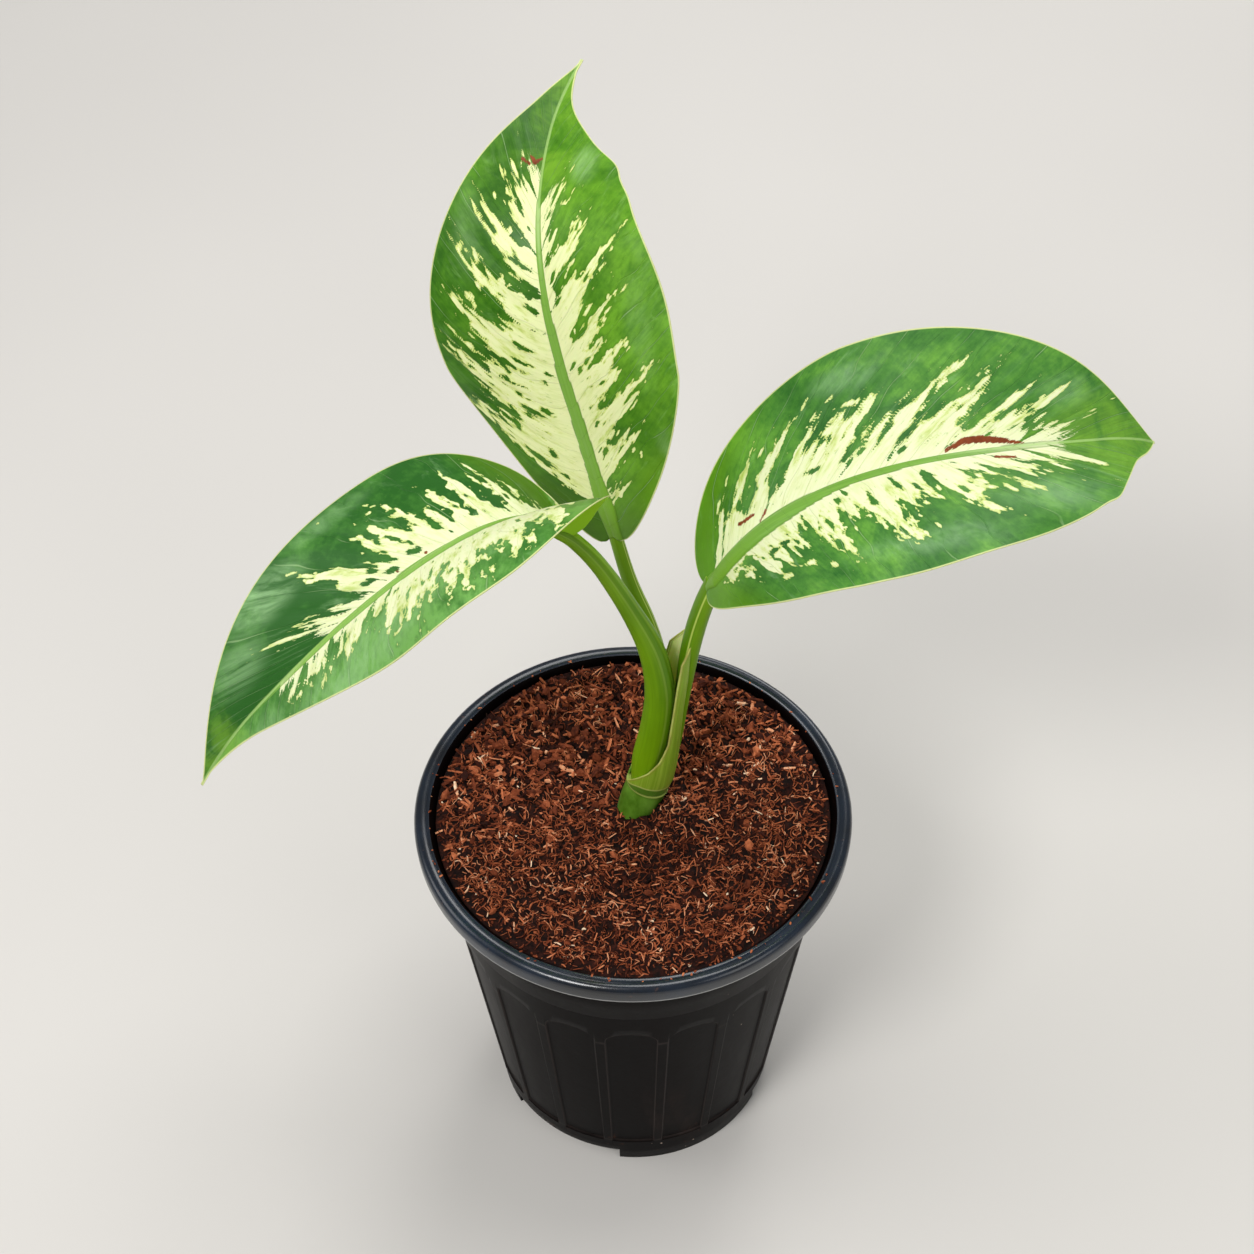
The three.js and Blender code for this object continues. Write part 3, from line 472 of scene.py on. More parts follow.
class Finish:
    """A procedural material, built node by node round one Principled shader."""

    def __init__(self, name):
        self.material = bpy.data.materials.new(name)
        self.material.use_nodes = True
        self.tree = self.material.node_tree
        self.tree.nodes.clear()
        self.shader = self.node("ShaderNodeBsdfPrincipled")
        output = self.node("ShaderNodeOutputMaterial")
        self.tree.links.new(self.shader.outputs["BSDF"], output.inputs["Surface"])

    def node(self, kind, **settings):
        made = self.tree.nodes.new(kind)
        for name, value in settings.items():
            setattr(made, name, value)
        return made

    def feed(self, socket, value):
        if isinstance(value, bpy.types.NodeSocket):
            self.tree.links.new(value, socket)
        else:
            socket.default_value = value

    def set(self, **values):
        """Sets or links the shader's own sockets."""
        for name, value in values.items():
            self.feed(self.shader.inputs[name.replace("_", " ")], value)

    def math(self, operation, *values):
        made = self.node("ShaderNodeMath", operation=operation)
        for socket, value in zip(made.inputs, values):
            self.feed(socket, value)
        return made.outputs[0]

    def times(self, *values):
        """The product of its values, worked out from the last one."""
        product = values[-1]
        for value in reversed(values[:-1]):
            product = self.math("MULTIPLY", value, product)
        return product

    def add_times(self, value, factor, base):
        """The value times the factor, plus the base."""
        return self.math("MULTIPLY_ADD", value, factor, base)

    def centred(self, value):
        return self.math("SUBTRACT", value, 0.5)

    def lay(self, skin, tone, *shares):
        """A tone laid over the skin, as strong as the product of the shares."""
        return self.mix(self.times(*shares), skin, tone)

    def attribute(self, name, output="Vector"):
        return self.node("ShaderNodeAttribute", attribute_name=name).outputs[output]

    def split(self, vector):
        made = self.node("ShaderNodeSeparateXYZ")
        self.feed(made.inputs[0], vector)
        return made.outputs[0], made.outputs[1], made.outputs[2]

    def join(self, x, y, z=0.0):
        made = self.node("ShaderNodeCombineXYZ")
        for socket, value in zip(made.inputs, (x, y, z)):
            self.feed(socket, value)
        return made.outputs[0]

    def place(self):
        return self.node("ShaderNodeTexCoord").outputs["Object"]

    def scaled(self, vector, x, y, z=1.0):
        made = self.node("ShaderNodeMapping")
        self.feed(made.inputs["Vector"], vector)
        made.inputs["Scale"].default_value = (x, y, z)
        return made.outputs[0]

    def noise(self, vector, scale, detail=2.0, roughness=0.5, distortion=0.0):
        """Soft noise from 0 to 1. Two or three numbers as its scale stretch it."""
        made = self.node("ShaderNodeTexNoise")
        stretched = isinstance(scale, tuple)
        self.feed(made.inputs["Vector"], self.scaled(vector, *scale) if stretched else vector)
        made.inputs["Scale"].default_value = 1.0 if stretched else scale
        made.inputs["Detail"].default_value = detail
        made.inputs["Roughness"].default_value = roughness
        made.inputs["Distortion"].default_value = distortion
        return made.outputs["Fac"]

    def cells(self, vector, scale):
        made = self.node("ShaderNodeTexVoronoi")
        self.feed(made.inputs["Vector"], vector)
        made.inputs["Scale"].default_value = scale
        return made.outputs["Distance"]

    def step(self, value, low, high):
        made = self.node("ShaderNodeMapRange", interpolation_type="SMOOTHSTEP")
        self.feed(made.inputs["Value"], value)
        self.feed(made.inputs["From Min"], low)
        self.feed(made.inputs["From Max"], high)
        return made.outputs["Result"]

    def mix(self, share, a, b):
        made = self.node("ShaderNodeMix", data_type="RGBA")
        self.feed(made.inputs[0], share)
        self.feed(made.inputs[6], a)
        self.feed(made.inputs[7], b)
        return made.outputs[2]

    def ramp(self, value, stops):
        made = self.node("ShaderNodeValToRGB")
        self.feed(made.inputs[0], value)
        elements = made.color_ramp.elements
        while len(elements) < len(stops):
            elements.new(0.5)
        for element, (position, tone) in zip(elements, stops):
            element.position = position
            element.color = tone
        return made.outputs[0]

    def bump(self, height, distance, strength=1.0):
        made = self.node("ShaderNodeBump")
        made.inputs["Strength"].default_value = strength
        made.inputs["Distance"].default_value = distance
        self.feed(made.inputs["Height"], height)
        self.feed(self.shader.inputs["Normal"], made.outputs[0])


# Tones of each blade, with painted light. A positive number for the halves paints the right half darker and
# the left lighter, as light falls on them, and a negative one does the reverse.
# The strength of the pale streaks and the last, pale tint paint sheen in streaks and in patches, with one
# residue mark among the patches.
LEAF_TONES = {
    "left": {"deep": colour(40, 94, 30), "mid": colour(68, 124, 46), "light": colour(110, 164, 78),
             "cream": colour(230, 234, 188), "lime": colour(188, 204, 92), "band": colour(132, 176, 84),
             "glow": colour(84, 128, 10), "half_shading": 0.34, "sheen_streaks": 0.5,
             "haze": colour(158, 200, 140)},
    "top": {"deep": colour(44, 96, 8), "mid": colour(72, 126, 22), "light": colour(104, 158, 36),
            "cream": colour(230, 234, 176), "lime": colour(192, 206, 84), "band": colour(104, 150, 52),
            "glow": colour(84, 130, 4), "half_shading": -0.2, "sheen_streaks": 0.35,
            "haze": colour(160, 200, 130)},
    "right": {"deep": colour(42, 96, 36), "mid": colour(72, 128, 48), "light": colour(108, 164, 60),
              "cream": colour(226, 230, 186), "lime": colour(188, 204, 84), "band": colour(86, 136, 48),
              "glow": colour(98, 148, 12), "half_shading": 0.0, "sheen_streaks": 0.4,
              "haze": colour(156, 196, 142)},
}


LEAF_PAINT = {
    "tip": colour(118, 162, 40), "vein": colour(176, 206, 146), "margin": colour(222, 224, 158),
    "yellow": colour(146, 176, 46), "streak": colour(206, 216, 140), "fleck": colour(142, 172, 66),
    "cream_vein": colour(196, 206, 132), "band_grain": colour(134, 178, 74),
    "band_base": colour(112, 158, 24), "thread": colour(166, 200, 120), "band_edge_shade": colour(84, 120, 36),
    "scar_dark": colour(80, 24, 6), "scar_light": colour(156, 76, 30), "below": colour(144, 196, 22),
    "below_pale": colour(196, 218, 92), "below_vein": colour(172, 206, 74),
}
# the channel tone is painted shade
STEM_PAINT = {
    "light": colour(122, 164, 10), "dark": colour(92, 134, 3), "channel": colour(70, 116, 8),
    "ridge": colour(200, 216, 104), "cane_dark": colour(66, 106, 14), "cane_light": colour(102, 146, 46),
    "bluish_side": colour(116, 150, 108), "ring": colour(178, 190, 96), "sheath_dark": colour(118, 154, 20),
    "sheath_light": colour(158, 188, 60), "inner_dark": colour(232, 240, 146),
    "inner_light": colour(250, 252, 200), "border": colour(190, 198, 104),
    "brown_border": colour(156, 138, 72), "border_line": colour(150, 134, 58),
}
# Tones of the black plastic: the edge tones are painted highlights, and the rim's bluish tones are a painted
# reflection of the sky.
POT_PAINT = {
    "wall_dark": colour(4, 2, 2), "wall_light": colour(10, 5, 5), "edge_highlight": colour(64, 57, 54),
    "speck": colour(206, 186, 170), "dust": colour(120, 100, 90), "earth": colour(96, 58, 40),
    "rim_sky_dark": colour(6, 11, 18), "rim_sky_light": colour(19, 33, 49), "rim_edge_highlight": colour(170, 170, 168),
    "rim_earth": colour(110, 76, 58),
}
COIR_RAMP = [
    (0.08, colour(16, 3, 1)), (0.28, colour(56, 19, 7)), (0.5, colour(126, 60, 33)),
    (0.7, colour(194, 110, 70)), (0.86, colour(234, 166, 124)), (0.99, colour(246, 222, 190)),
]


def leaf_finish(name):
    """Upper face: green, with a ragged cream zone that runs out along the side veins."""
    tones, paint = LEAF_TONES[name], LEAF_PAINT
    f = Finish(f"variegated leaf {name}")
    along, across, margin = f.split(f.attribute("vein"))
    pale, scar, rib = f.split(f.attribute("marks"))
    under = f.attribute("under", "Fac")
    distance = f.math("ABSOLUTE", across)
    right_half = f.math("GREATER_THAN", across, 0.0)
    streaks = f.join(along, across, 7.0 * len(name))
    ragged = f.centred(f.noise(streaks, (1.5, 0.7), 3, 0.6))
    inside = f.add_times(ragged, 7.0, pale)
    zone = f.step(inside, -0.3, 0.3)

    # greens: broad soft patches, faint streaks along the veins, thin pale veins, and painted sheen in streaks
    # and patches
    patches = f.noise(f.place(), (55, 55, 55), 5, 0.6, 0.6)
    fine = f.noise(streaks, (1.1, 0.14), 4, 0.6)
    mottle = f.noise(f.place(), (420, 420, 420), 3, 0.6)
    blend = f.add_times(f.centred(fine), 0.22, patches)
    blend = f.add_times(f.centred(mottle), 0.3, blend)
    # painted light and shade: one half of the blade lighter, the other darker
    blend = f.add_times(right_half, -tones["half_shading"], blend)
    blend = f.math("ADD", blend, tones["half_shading"] / 2)
    green = f.ramp(blend, [(0.3, tones["deep"]), (0.5, tones["mid"]), (0.72, tones["light"])])
    green = f.lay(green, tones["glow"], f.step(along, 15.0, 1.0), 0.7)
    tip_glow = f.times(f.step(along, 80.0, 104.0), f.step(patches, 0.4, 0.6))
    green = f.lay(green, paint["tip"], tip_glow, 0.45)
    green = f.lay(green, tones["deep"], f.step(inside, -6.0, -0.5), 0.35)
    bend = f.noise(streaks, (0.08, 0.08), 1, 0.5)
    vein_wave = f.math("PINGPONG", f.add_times(bend, 7.0, along), 3.6)
    vein = f.step(vein_wave, 0.16, 0.03)
    seen = f.step(f.noise(streaks, (0.17, 0.07), 2, 0.5), 0.44, 0.62)
    green = f.lay(green, paint["vein"], vein, seen, 0.55)
    green = f.lay(green, tones["deep"], f.step(vein_wave, 0.6, 0.2), seen, 0.3)
    # painted sheen: pale streaks from this noise, and pale patches given per leaf, mostly painted sheen and
    # highlights, one on the right leaf a residue mark
    sheen_noise = f.noise(streaks, (0.24, 0.11), 5, 0.65, 0.8)
    sheen_streaks = f.times(f.step(sheen_noise, 0.55, 0.85), tones["sheen_streaks"])
    haze = f.times(f.attribute("haze", "Fac"), f.step(sheen_noise, 0.25, 0.7))
    green = f.lay(green, tones["haze"], f.math("MAXIMUM", sheen_streaks, f.times(haze, 0.75)))

    # creams: whiter by the midrib, yellower in clouds, outwards and round the edges
    clouds = f.noise(streaks, (0.26, 0.11), 4, 0.62)
    lime = f.times(f.step(clouds, 0.48, 0.72), 0.8)
    lime = f.math("MAXIMUM", lime, f.times(f.step(inside, 2.2, 0.2), 0.75))
    cream = f.lay(tones["cream"], tones["lime"], lime, f.step(distance, 0.5, 9.0))
    tinge = f.times(f.step(clouds, 0.58, 0.74), f.step(distance, 2.0, 8.0))
    cream = f.lay(cream, paint["yellow"], tinge, 0.7)
    cream = f.lay(cream, paint["streak"], f.step(fine, 0.46, 0.66), 0.4)
    flecks = f.noise(streaks, (1.1, 0.4), 3, 0.55)
    cream = f.lay(cream, paint["fleck"], f.step(flecks, 0.62, 0.7), 0.45)
    cream = f.lay(cream, paint["cream_vein"], vein, 0.35)
    upper = f.mix(zone, green, cream)

    # the midrib's solid band with painted shade along its sides, and the scars
    band = f.mix(f.noise(streaks, (0.05, 2.2), 3, 0.6), tones["band"], paint["band_grain"])
    band = f.lay(band, paint["band_base"], f.step(along, 30.0, 2.0), 0.7)
    upper = f.lay(upper, band, f.step(rib, 0.02, 0.2), f.step(along, 118.0, 78.0))
    thread = f.times(f.step(distance, 0.5, 0.25), f.step(along, 70.0, 90.0))
    upper = f.lay(upper, paint["thread"], thread, 0.6)
    # painted shade along both edges of the raised band
    band_edge_shade = f.times(f.step(rib, 0.005, 0.08), f.step(rib, 0.5, 0.12))
    upper = f.lay(upper, paint["band_edge_shade"], band_edge_shade, 0.45)
    bark = f.mix(mottle, paint["scar_dark"], paint["scar_light"])
    upper = f.lay(upper, bark, f.step(f.add_times(ragged, 1.6, scar), -0.12, 0.12))

    # underside: plainer, paler olive, with the cream zone showing through faintly
    below = f.lay(paint["below"], paint["below_pale"], zone, 0.4)
    below = f.lay(below, paint["below_vein"], vein, 0.4)
    skin = f.lay(f.mix(under, upper, below), paint["margin"], f.step(margin, 0.5, 0.2), 0.8)
    gloss = f.add_times(f.noise(streaks, (0.2, 0.1), 4, 0.6), 0.3, 0.24)
    gloss = f.add_times(under, 0.2, gloss)
    f.set(Base_Color=skin, Roughness=gloss, IOR=1.42, Specular_IOR_Level=0.26)
    f.set(Subsurface_Weight=0.15, Subsurface_Scale=0.0012, Subsurface_Radius=(0.6, 1.0, 0.3))
    relief = f.add_times(zone, -0.25, f.times(fine, 0.6))
    f.bump(f.add_times(vein, -0.8, relief), 0.00016, 0.7)
    return f.material


def stalk_finish(name):
    """Smooth green skin with faint lengthwise streaks, and a channel painted darker as shade between pale
    edges.
    """
    paint, mesh = STEM_PAINT, STALK_MESH[name]
    first, last = mesh["groove"]
    f = Finish(f"{name} stalk skin")
    along, angle, _ = f.split(f.attribute("skin"))
    streak = f.noise(f.join(f.times(along, 0.03), f.times(angle, 0.09)), 1.0, 4, 0.62)
    cloud = f.noise(f.place(), (60, 60, 25), 3, 0.5)
    tone = f.add_times(f.centred(streak), 0.5, cloud)
    skin = f.ramp(tone, [(0.3, paint["dark"]), (0.66, paint["light"])])
    # painted shade in the channel
    inside = f.times(f.step(angle, first - 4, first + 4), f.step(angle, last + 4, last - 4))
    skin = f.lay(skin, paint["channel"], inside, 0.4)
    for side in (first, last):
        ridge = f.step(f.math("ABSOLUTE", f.math("SUBTRACT", angle, side)), 7.0, 3.0)
        skin = f.lay(skin, paint["ridge"], ridge, mesh["ridge_share"])
    f.set(Base_Color=skin, Roughness=0.4, IOR=1.42, Specular_IOR_Level=0.3)
    f.set(Subsurface_Weight=0.25, Subsurface_Scale=0.0015, Subsurface_Radius=(0.6, 1.0, 0.3))
    f.bump(streak, 0.0001, 0.5)
    return f.material


def sheath_finish():
    """Pale green outside, cream inside, with a cream border that browns in places, and the cane's
    green skin below the node ring that the sheath grows from."""
    paint = STEM_PAINT
    f = Finish("sheath skin")
    height, angle, margin = f.split(f.attribute("skin"))
    under = f.attribute("under", "Fac")
    streak = f.noise(f.join(f.times(height, 0.03), f.times(angle, 0.14)), 1.0, 4, 0.6)
    outer = f.ramp(streak, [(0.3, paint["sheath_dark"]), (0.7, paint["sheath_light"])])
    inner = f.ramp(streak, [(0.3, paint["inner_dark"]), (0.7, paint["inner_light"])])
    brown = f.step(f.noise(f.join(f.times(height, 0.12), 0.0), 1.0, 2, 0.5), 0.4, 0.6)
    border = f.lay(paint["border"], paint["brown_border"], brown, 0.6)
    skin = f.lay(f.mix(under, outer, inner), border, f.step(margin, 0.45, 0.25))
    line = f.times(f.step(margin, 0.45, 0.6), f.step(margin, 1.1, 0.8))
    skin = f.lay(skin, paint["border_line"], line, 0.4)
    ring = f.add_times(f.step(angle, -172.0, -112.0), -2.7, height)
    cane = f.mix(f.noise(f.place(), (220, 220, 120), 4, 0.55), paint["cane_dark"], paint["cane_light"])
    skin = f.lay(skin, paint["ring"], f.step(ring, 130.1, 129.7))
    skin = f.lay(skin, cane, f.step(ring, 129.4, 129.1))
    f.set(Base_Color=skin, Roughness=0.45, IOR=1.42, Specular_IOR_Level=0.4)
    f.set(Subsurface_Weight=0.35, Subsurface_Scale=0.002, Subsurface_Radius=(0.7, 1.0, 0.4))
    f.bump(streak, 0.00012, 0.6)
    return f.material


def cane_finish():
    """Green stem, paler and bluish on one side low down, paler at the node ring."""
    paint = STEM_PAINT
    f = Finish("cane skin")
    along, angle, _ = f.split(f.attribute("skin"))
    cloud = f.noise(f.place(), (220, 220, 120), 4, 0.55)
    skin = f.ramp(cloud, [(0.35, paint["cane_dark"]), (0.65, paint["cane_light"])])
    # a paler bluish patch on one side low down
    turned = f.math("ABSOLUTE", f.math("SUBTRACT", angle, 225.0))
    bluish_side_share = f.times(f.step(along, 40.0, 34.0), f.step(turned, 60.0, 20.0))
    skin = f.lay(skin, paint["bluish_side"], bluish_side_share, 0.6)
    skin = f.lay(skin, paint["ring"], f.step(along, 44.9, 45.3), 0.8)
    f.set(Base_Color=skin, Roughness=0.45, IOR=1.42, Specular_IOR_Level=0.35)
    f.bump(cloud, 0.0002, 0.4)
    return f.material


def pot_finish():
    """Moulded black plastic, paler along its moulded edges as a painted highlight, with dust and splashed
    earth.
    """
    paint = POT_PAINT
    f = Finish("black moulded plastic")
    place = f.place()
    _, _, height = f.split(place)
    edge = f.attribute("edge", "Fac")
    grain = f.noise(place, (420, 420, 260), 4, 0.6)
    scuff = f.noise(place, (60, 60, 18), 5, 0.65)
    skin = f.ramp(scuff, [(0.35, paint["wall_dark"]), (0.7, paint["wall_light"])])
    # painted highlight along the moulded edges
    skin = f.lay(skin, paint["edge_highlight"], edge, f.add_times(scuff, 1.2, -0.2))
    specks = f.step(f.cells(place, 260), 0.1, 0.05)
    rare = f.step(f.noise(place, (60, 60, 60), 2, 0.5), 0.6, 0.68)
    skin = f.lay(skin, paint["speck"], specks, rare)
    film = f.times(f.step(scuff, 0.55, 0.75), f.step(height, 0.075, 0.02))
    skin = f.lay(skin, paint["dust"], film, 0.05)
    splash = f.noise(place, (240, 240, 240), 5, 0.7)
    earth = f.times(f.step(splash, 0.6, 0.72), f.step(height, 0.03, 0.0))
    skin = f.lay(skin, paint["earth"], earth, 0.5)
    f.set(Base_Color=skin, Roughness=f.add_times(scuff, 0.2, 0.3))
    f.set(IOR=1.5, Specular_IOR_Level=0.035)
    f.bump(grain, 0.00008, 0.5)
    return f.material


def rim_finish():
    """The same plastic on the rim, smoother and glossy, painted bluish as a reflection of the sky, with a
    painted highlight along its lower edge.
    """
    paint = POT_PAINT
    f = Finish("glossy black rim")
    place = f.place()
    edge = f.attribute("edge", "Fac")
    scuff = f.noise(place, (60, 60, 60), 5, 0.65)
    # bluish tones: a painted reflection of the sky on black plastic
    skin = f.ramp(scuff, [(0.32, paint["rim_sky_dark"]), (0.68, paint["rim_sky_light"])])
    # painted highlight along the rim's lower edge
    skin = f.lay(skin, paint["rim_edge_highlight"], edge, 0.8)
    dirt = f.step(f.noise(place, (320, 320, 320), 5, 0.7), 0.62, 0.72)
    skin = f.lay(skin, paint["rim_earth"], dirt, 0.35)
    f.set(Base_Color=skin, Roughness=f.add_times(scuff, 0.16, 0.16))
    f.set(IOR=1.5, Specular_IOR_Level=0.6)
    f.bump(scuff, 0.0001, 0.3)
    return f.material


def soil_finish(name, tint_shift):
    """Coir: each bit has its own tint, from near black through red brown to straw."""
    f = Finish(name)
    mottle = f.noise(f.place(), (700, 700, 700), 4, 0.7)
    level = f.add_times(f.centred(mottle), 0.45, f.attribute("tint", "Fac"))
    skin = f.ramp(f.math("ADD", level, tint_shift), COIR_RAMP)
    f.set(Base_Color=skin, Roughness=0.88, Specular_IOR_Level=0.2)
    f.bump(mottle, 0.0004, 0.8)
    return f.material


def floor_finish():
    f = Finish("pale studio floor")
    tone = f.ramp(f.noise(f.place(), 3.0, 2), [(0.3, colour(206, 202, 196)), (0.7, colour(211, 207, 201))])
    f.set(Base_Color=tone, Roughness=0.75)
    return f.material


# ---------------------------------------------------------------- leaf blades


def bezier(points, t):
    """Points and directions of a cubic curve at the values t."""
    a, b, c, d = (np.array(point, float) for point in points)
    t = t[:, None]
    place = a * (1 - t) ** 3 + 3 * b * t * (1 - t) ** 2 + 3 * c * t * t * (1 - t) + d * t ** 3
    slope = (b - a) * (1 - t) ** 2 + 2 * (c - b) * t * (1 - t) + (d - c) * t * t
    return place, unit(slope)


def face_direction(azimuth, elevation):
    turn, rise = math.radians(azimuth), math.radians(elevation)
    return np.array([math.cos(rise) * math.cos(turn), math.cos(rise) * math.sin(turn), math.sin(rise)])


def half_width(t, side):
    climb = np.minimum(t / side["widest"], 1)
    fall = np.clip((t - side["widest"]) / (1 - side["widest"]), 0, 1)
    base = (1 - (1 - climb) ** side["base"]) ** (1 / side["base"])
    tip = (1 - fall ** side["tip"]) ** side["taper"]
    notches = sum(change * np.exp(-((t - place) / spread) ** 2) for place, change, spread in side["edge"])
    width = (side["root"] + (side["reach"] - side["root"]) * base) * tip + notches
    return np.maximum(width, BLADE["point_width"])


def half_blade(leaf, side, sign, t, reach):
    """Middle surface of one half of a blade: points, outward normals and distance from the midrib."""
    middle, tangent = bezier(leaf["midrib"], t)
    base, tip = face_direction(*leaf["face_base"]), face_direction(*leaf["face_tip"])
    facing = lerp(base, tip, t[:, None])
    up = unit(facing - tangent * np.sum(facing * tangent, axis=1, keepdims=True))
    outward = np.cross(tangent, up) * sign
    width = half_width(t, side)
    length = width * reach
    fold = lerp(*side["fold"], t)
    curl = lerp(*side["curl"], t)
    curl = np.where(np.abs(curl) < 1e-6, 1e-6, curl)
    end = fold - curl * length
    along = (np.sin(fold) - np.sin(end)) / curl
    lift = (np.cos(end) - np.cos(fold)) / curl
    height, waves, phase = side["wave"]
    fade = smooth(t, 0, BLADE["wave_start"]) * (1 - smooth(t, BLADE["wave_end"], 1))
    wave = height * fade * reach ** 3 * np.sin(2 * math.pi * waves * t + phase)
    corner = np.exp(-t / BLADE["corner_length"]) * smooth(reach, 0.55, 1)
    sweep = side["lobe"] * np.exp(-t / BLADE["lobe_length"]) * reach ** 1.5
    sweep = sweep * (1 - BLADE["lobe_rounding"] * corner)
    sink = leaf["sink"] * np.exp(-t / BLADE["sink_length"]) * (1 - reach ** 2.5)
    bend = np.maximum((t - BLADE["bend_start"]) / (1 - BLADE["bend_start"]), 0) ** 2
    point = middle + outward * along[:, None] + up * (lift + wave)[:, None] - tangent * sweep[:, None]
    point += bend[:, None] * np.array(leaf["tip_bend"])
    point[:, 2] -= sink
    tilt = end * smooth(length, 0, 1.5)
    normal = up * np.cos(tilt)[:, None] - outward * np.sin(tilt)[:, None]
    return point, normal, length, width


def midrib_place(leaf, t):
    """Millimetres along the midrib at the values t."""
    steps = np.linspace(0, 1, 400)
    line, _ = bezier(leaf["midrib"], steps)
    return np.interp(t, steps, run_length(line))


def vein_place(lean, place, distance):
    """Where on the midrib the side vein through a point starts, found by halving."""
    p, slope, bend = (np.array(column, float) for column in zip(*lean))
    low = np.full_like(place, -80.0)
    high = np.full_like(place, 200.0)
    for _ in range(26):
        guess = (low + high) / 2
        reached = guess + np.interp(guess, p, slope) * distance + np.interp(guess, p, bend) * distance ** 2
        low = np.where(reached < place, guess, low)
        high = np.where(reached < place, high, guess)
    return (low + high) / 2


def band_shape(leaf, place, across):
    """Height of the midrib's rounded band, 0 outside it and 1 at its crown, and its width."""
    s, left, right = (np.array(column, float) for column in zip(*leaf["band"]))
    left_edge, right_edge = np.interp(place, s, left), np.interp(place, s, right)
    off = (across - (left_edge + right_edge) / 2) / ((right_edge - left_edge) / 2)
    return np.sqrt(np.maximum(1 - off ** 2, 0)), right_edge - left_edge


def soft_swell(points):
    """Slow unevenness of a blade, from -1 to 1."""
    return np.array([noise.noise(Vector(point) / 26) + 0.4 * noise.noise(Vector(point) / 9)
                     for point in points])


def rounded_line(x, points):
    """Height at x of a line through points that runs level at each of them."""
    places, heights = (np.array(column, float) for column in zip(*points))
    k = np.clip(np.searchsorted(places, x) - 1, 0, len(places) - 2)
    share = (x - places[k]) / (places[k + 1] - places[k])
    return lerp(heights[k], heights[k + 1], smooth(share, 0, 1))


def uneven(vein, reach, wide, long, seed):
    """Numbers from -1 to 1 that change over wide mm across the side veins and long mm along them."""
    return np.array([noise.noise(Vector((p / wide, y / long, seed))) for p, y in zip(vein, reach)])


def fray(vein, reach, kind):
    """Sum of one kind of noise's layers."""
    return sum(height * uneven(vein, reach, *layer) for height, *layer in FRAY[kind])


def island(vein, across, p, y, half_across, half_along):
    """Share of an oval spot: 1 in its middle, 0 at its edge, negative outside."""
    off = np.hypot((vein - abs(p)) / half_across, (np.abs(across) - y) / half_along)
    return np.where((across < 0) == (p < 0), 1 - off, -9)


def pale_depth(leaf, vein, across):
    """Roughly how many millimetres inside the pale zone a point lies, negative in the green."""
    reach = np.abs(across)
    wobble = fray(vein, reach, "wobble")
    limit = np.where(across < 0, rounded_line(vein + wobble, leaf["pale_left"]),
                     rounded_line(vein + wobble, leaf["pale_right"]))
    begun = smooth(limit, 1, 6)
    depth = limit + fray(vein, reach, "fingers") * begun - reach - 6 * (1 - smooth(limit, 0, 2))
    share = np.clip(reach / np.maximum(limit, 1), 0, 2)
    cut = fray(vein, reach, "cuts") - lerp(0.66, 0.34, np.minimum(share, 1))
    depth = np.minimum(depth, -BLADE["cut_slope"] * cut)
    blob = fray(vein, reach, "blobs") - lerp(0.28, 0.8, np.clip((reach - limit) / 9, 0, 1))
    outside = (limit > 3) & (reach > limit)
    depth = np.where(outside, np.maximum(depth, BLADE["cut_slope"] * blob), depth)
    for drop in leaf["drops"]:
        depth = np.maximum(depth, BLADE["spot_slope"] * island(vein + wobble / 3, across, *drop))
    for hole in leaf["holes"]:
        depth = np.minimum(depth, -BLADE["spot_slope"] * island(vein + wobble / 3, across, *hole))
    return depth


def scar_depth(leaf, place, across):
    """Millimetres inside the nearest scar, negative outside."""
    depth = np.full_like(place, -9.0)
    for line in leaf["scars"]:
        for start, end in zip(line, line[1:] or line):
            run = np.array([end[0] - start[0], end[1] - start[1]], float)
            square = max(float(run @ run), 1e-9)
            share = np.clip(((place - start[0]) * run[0] + (across - start[1]) * run[1]) / square, 0, 1)
            off = np.hypot(place - start[0] - share * run[0], across - start[1] - share * run[1])
            depth = np.maximum(depth, lerp(start[2], end[2], share) - off)
    return depth


def haze_share(leaf, place, across):
    """Strength of the painted sheen and residue at each point, from 0 to 1."""
    share = np.zeros_like(place)
    for s, y, half_along, half_across, strength in leaf["haze"]:
        off = np.hypot((place - s) / half_along, (across - y) / half_across)
        share = np.maximum(share, strength * (1 - smooth(off, 0.3, 1.3)))
    return share


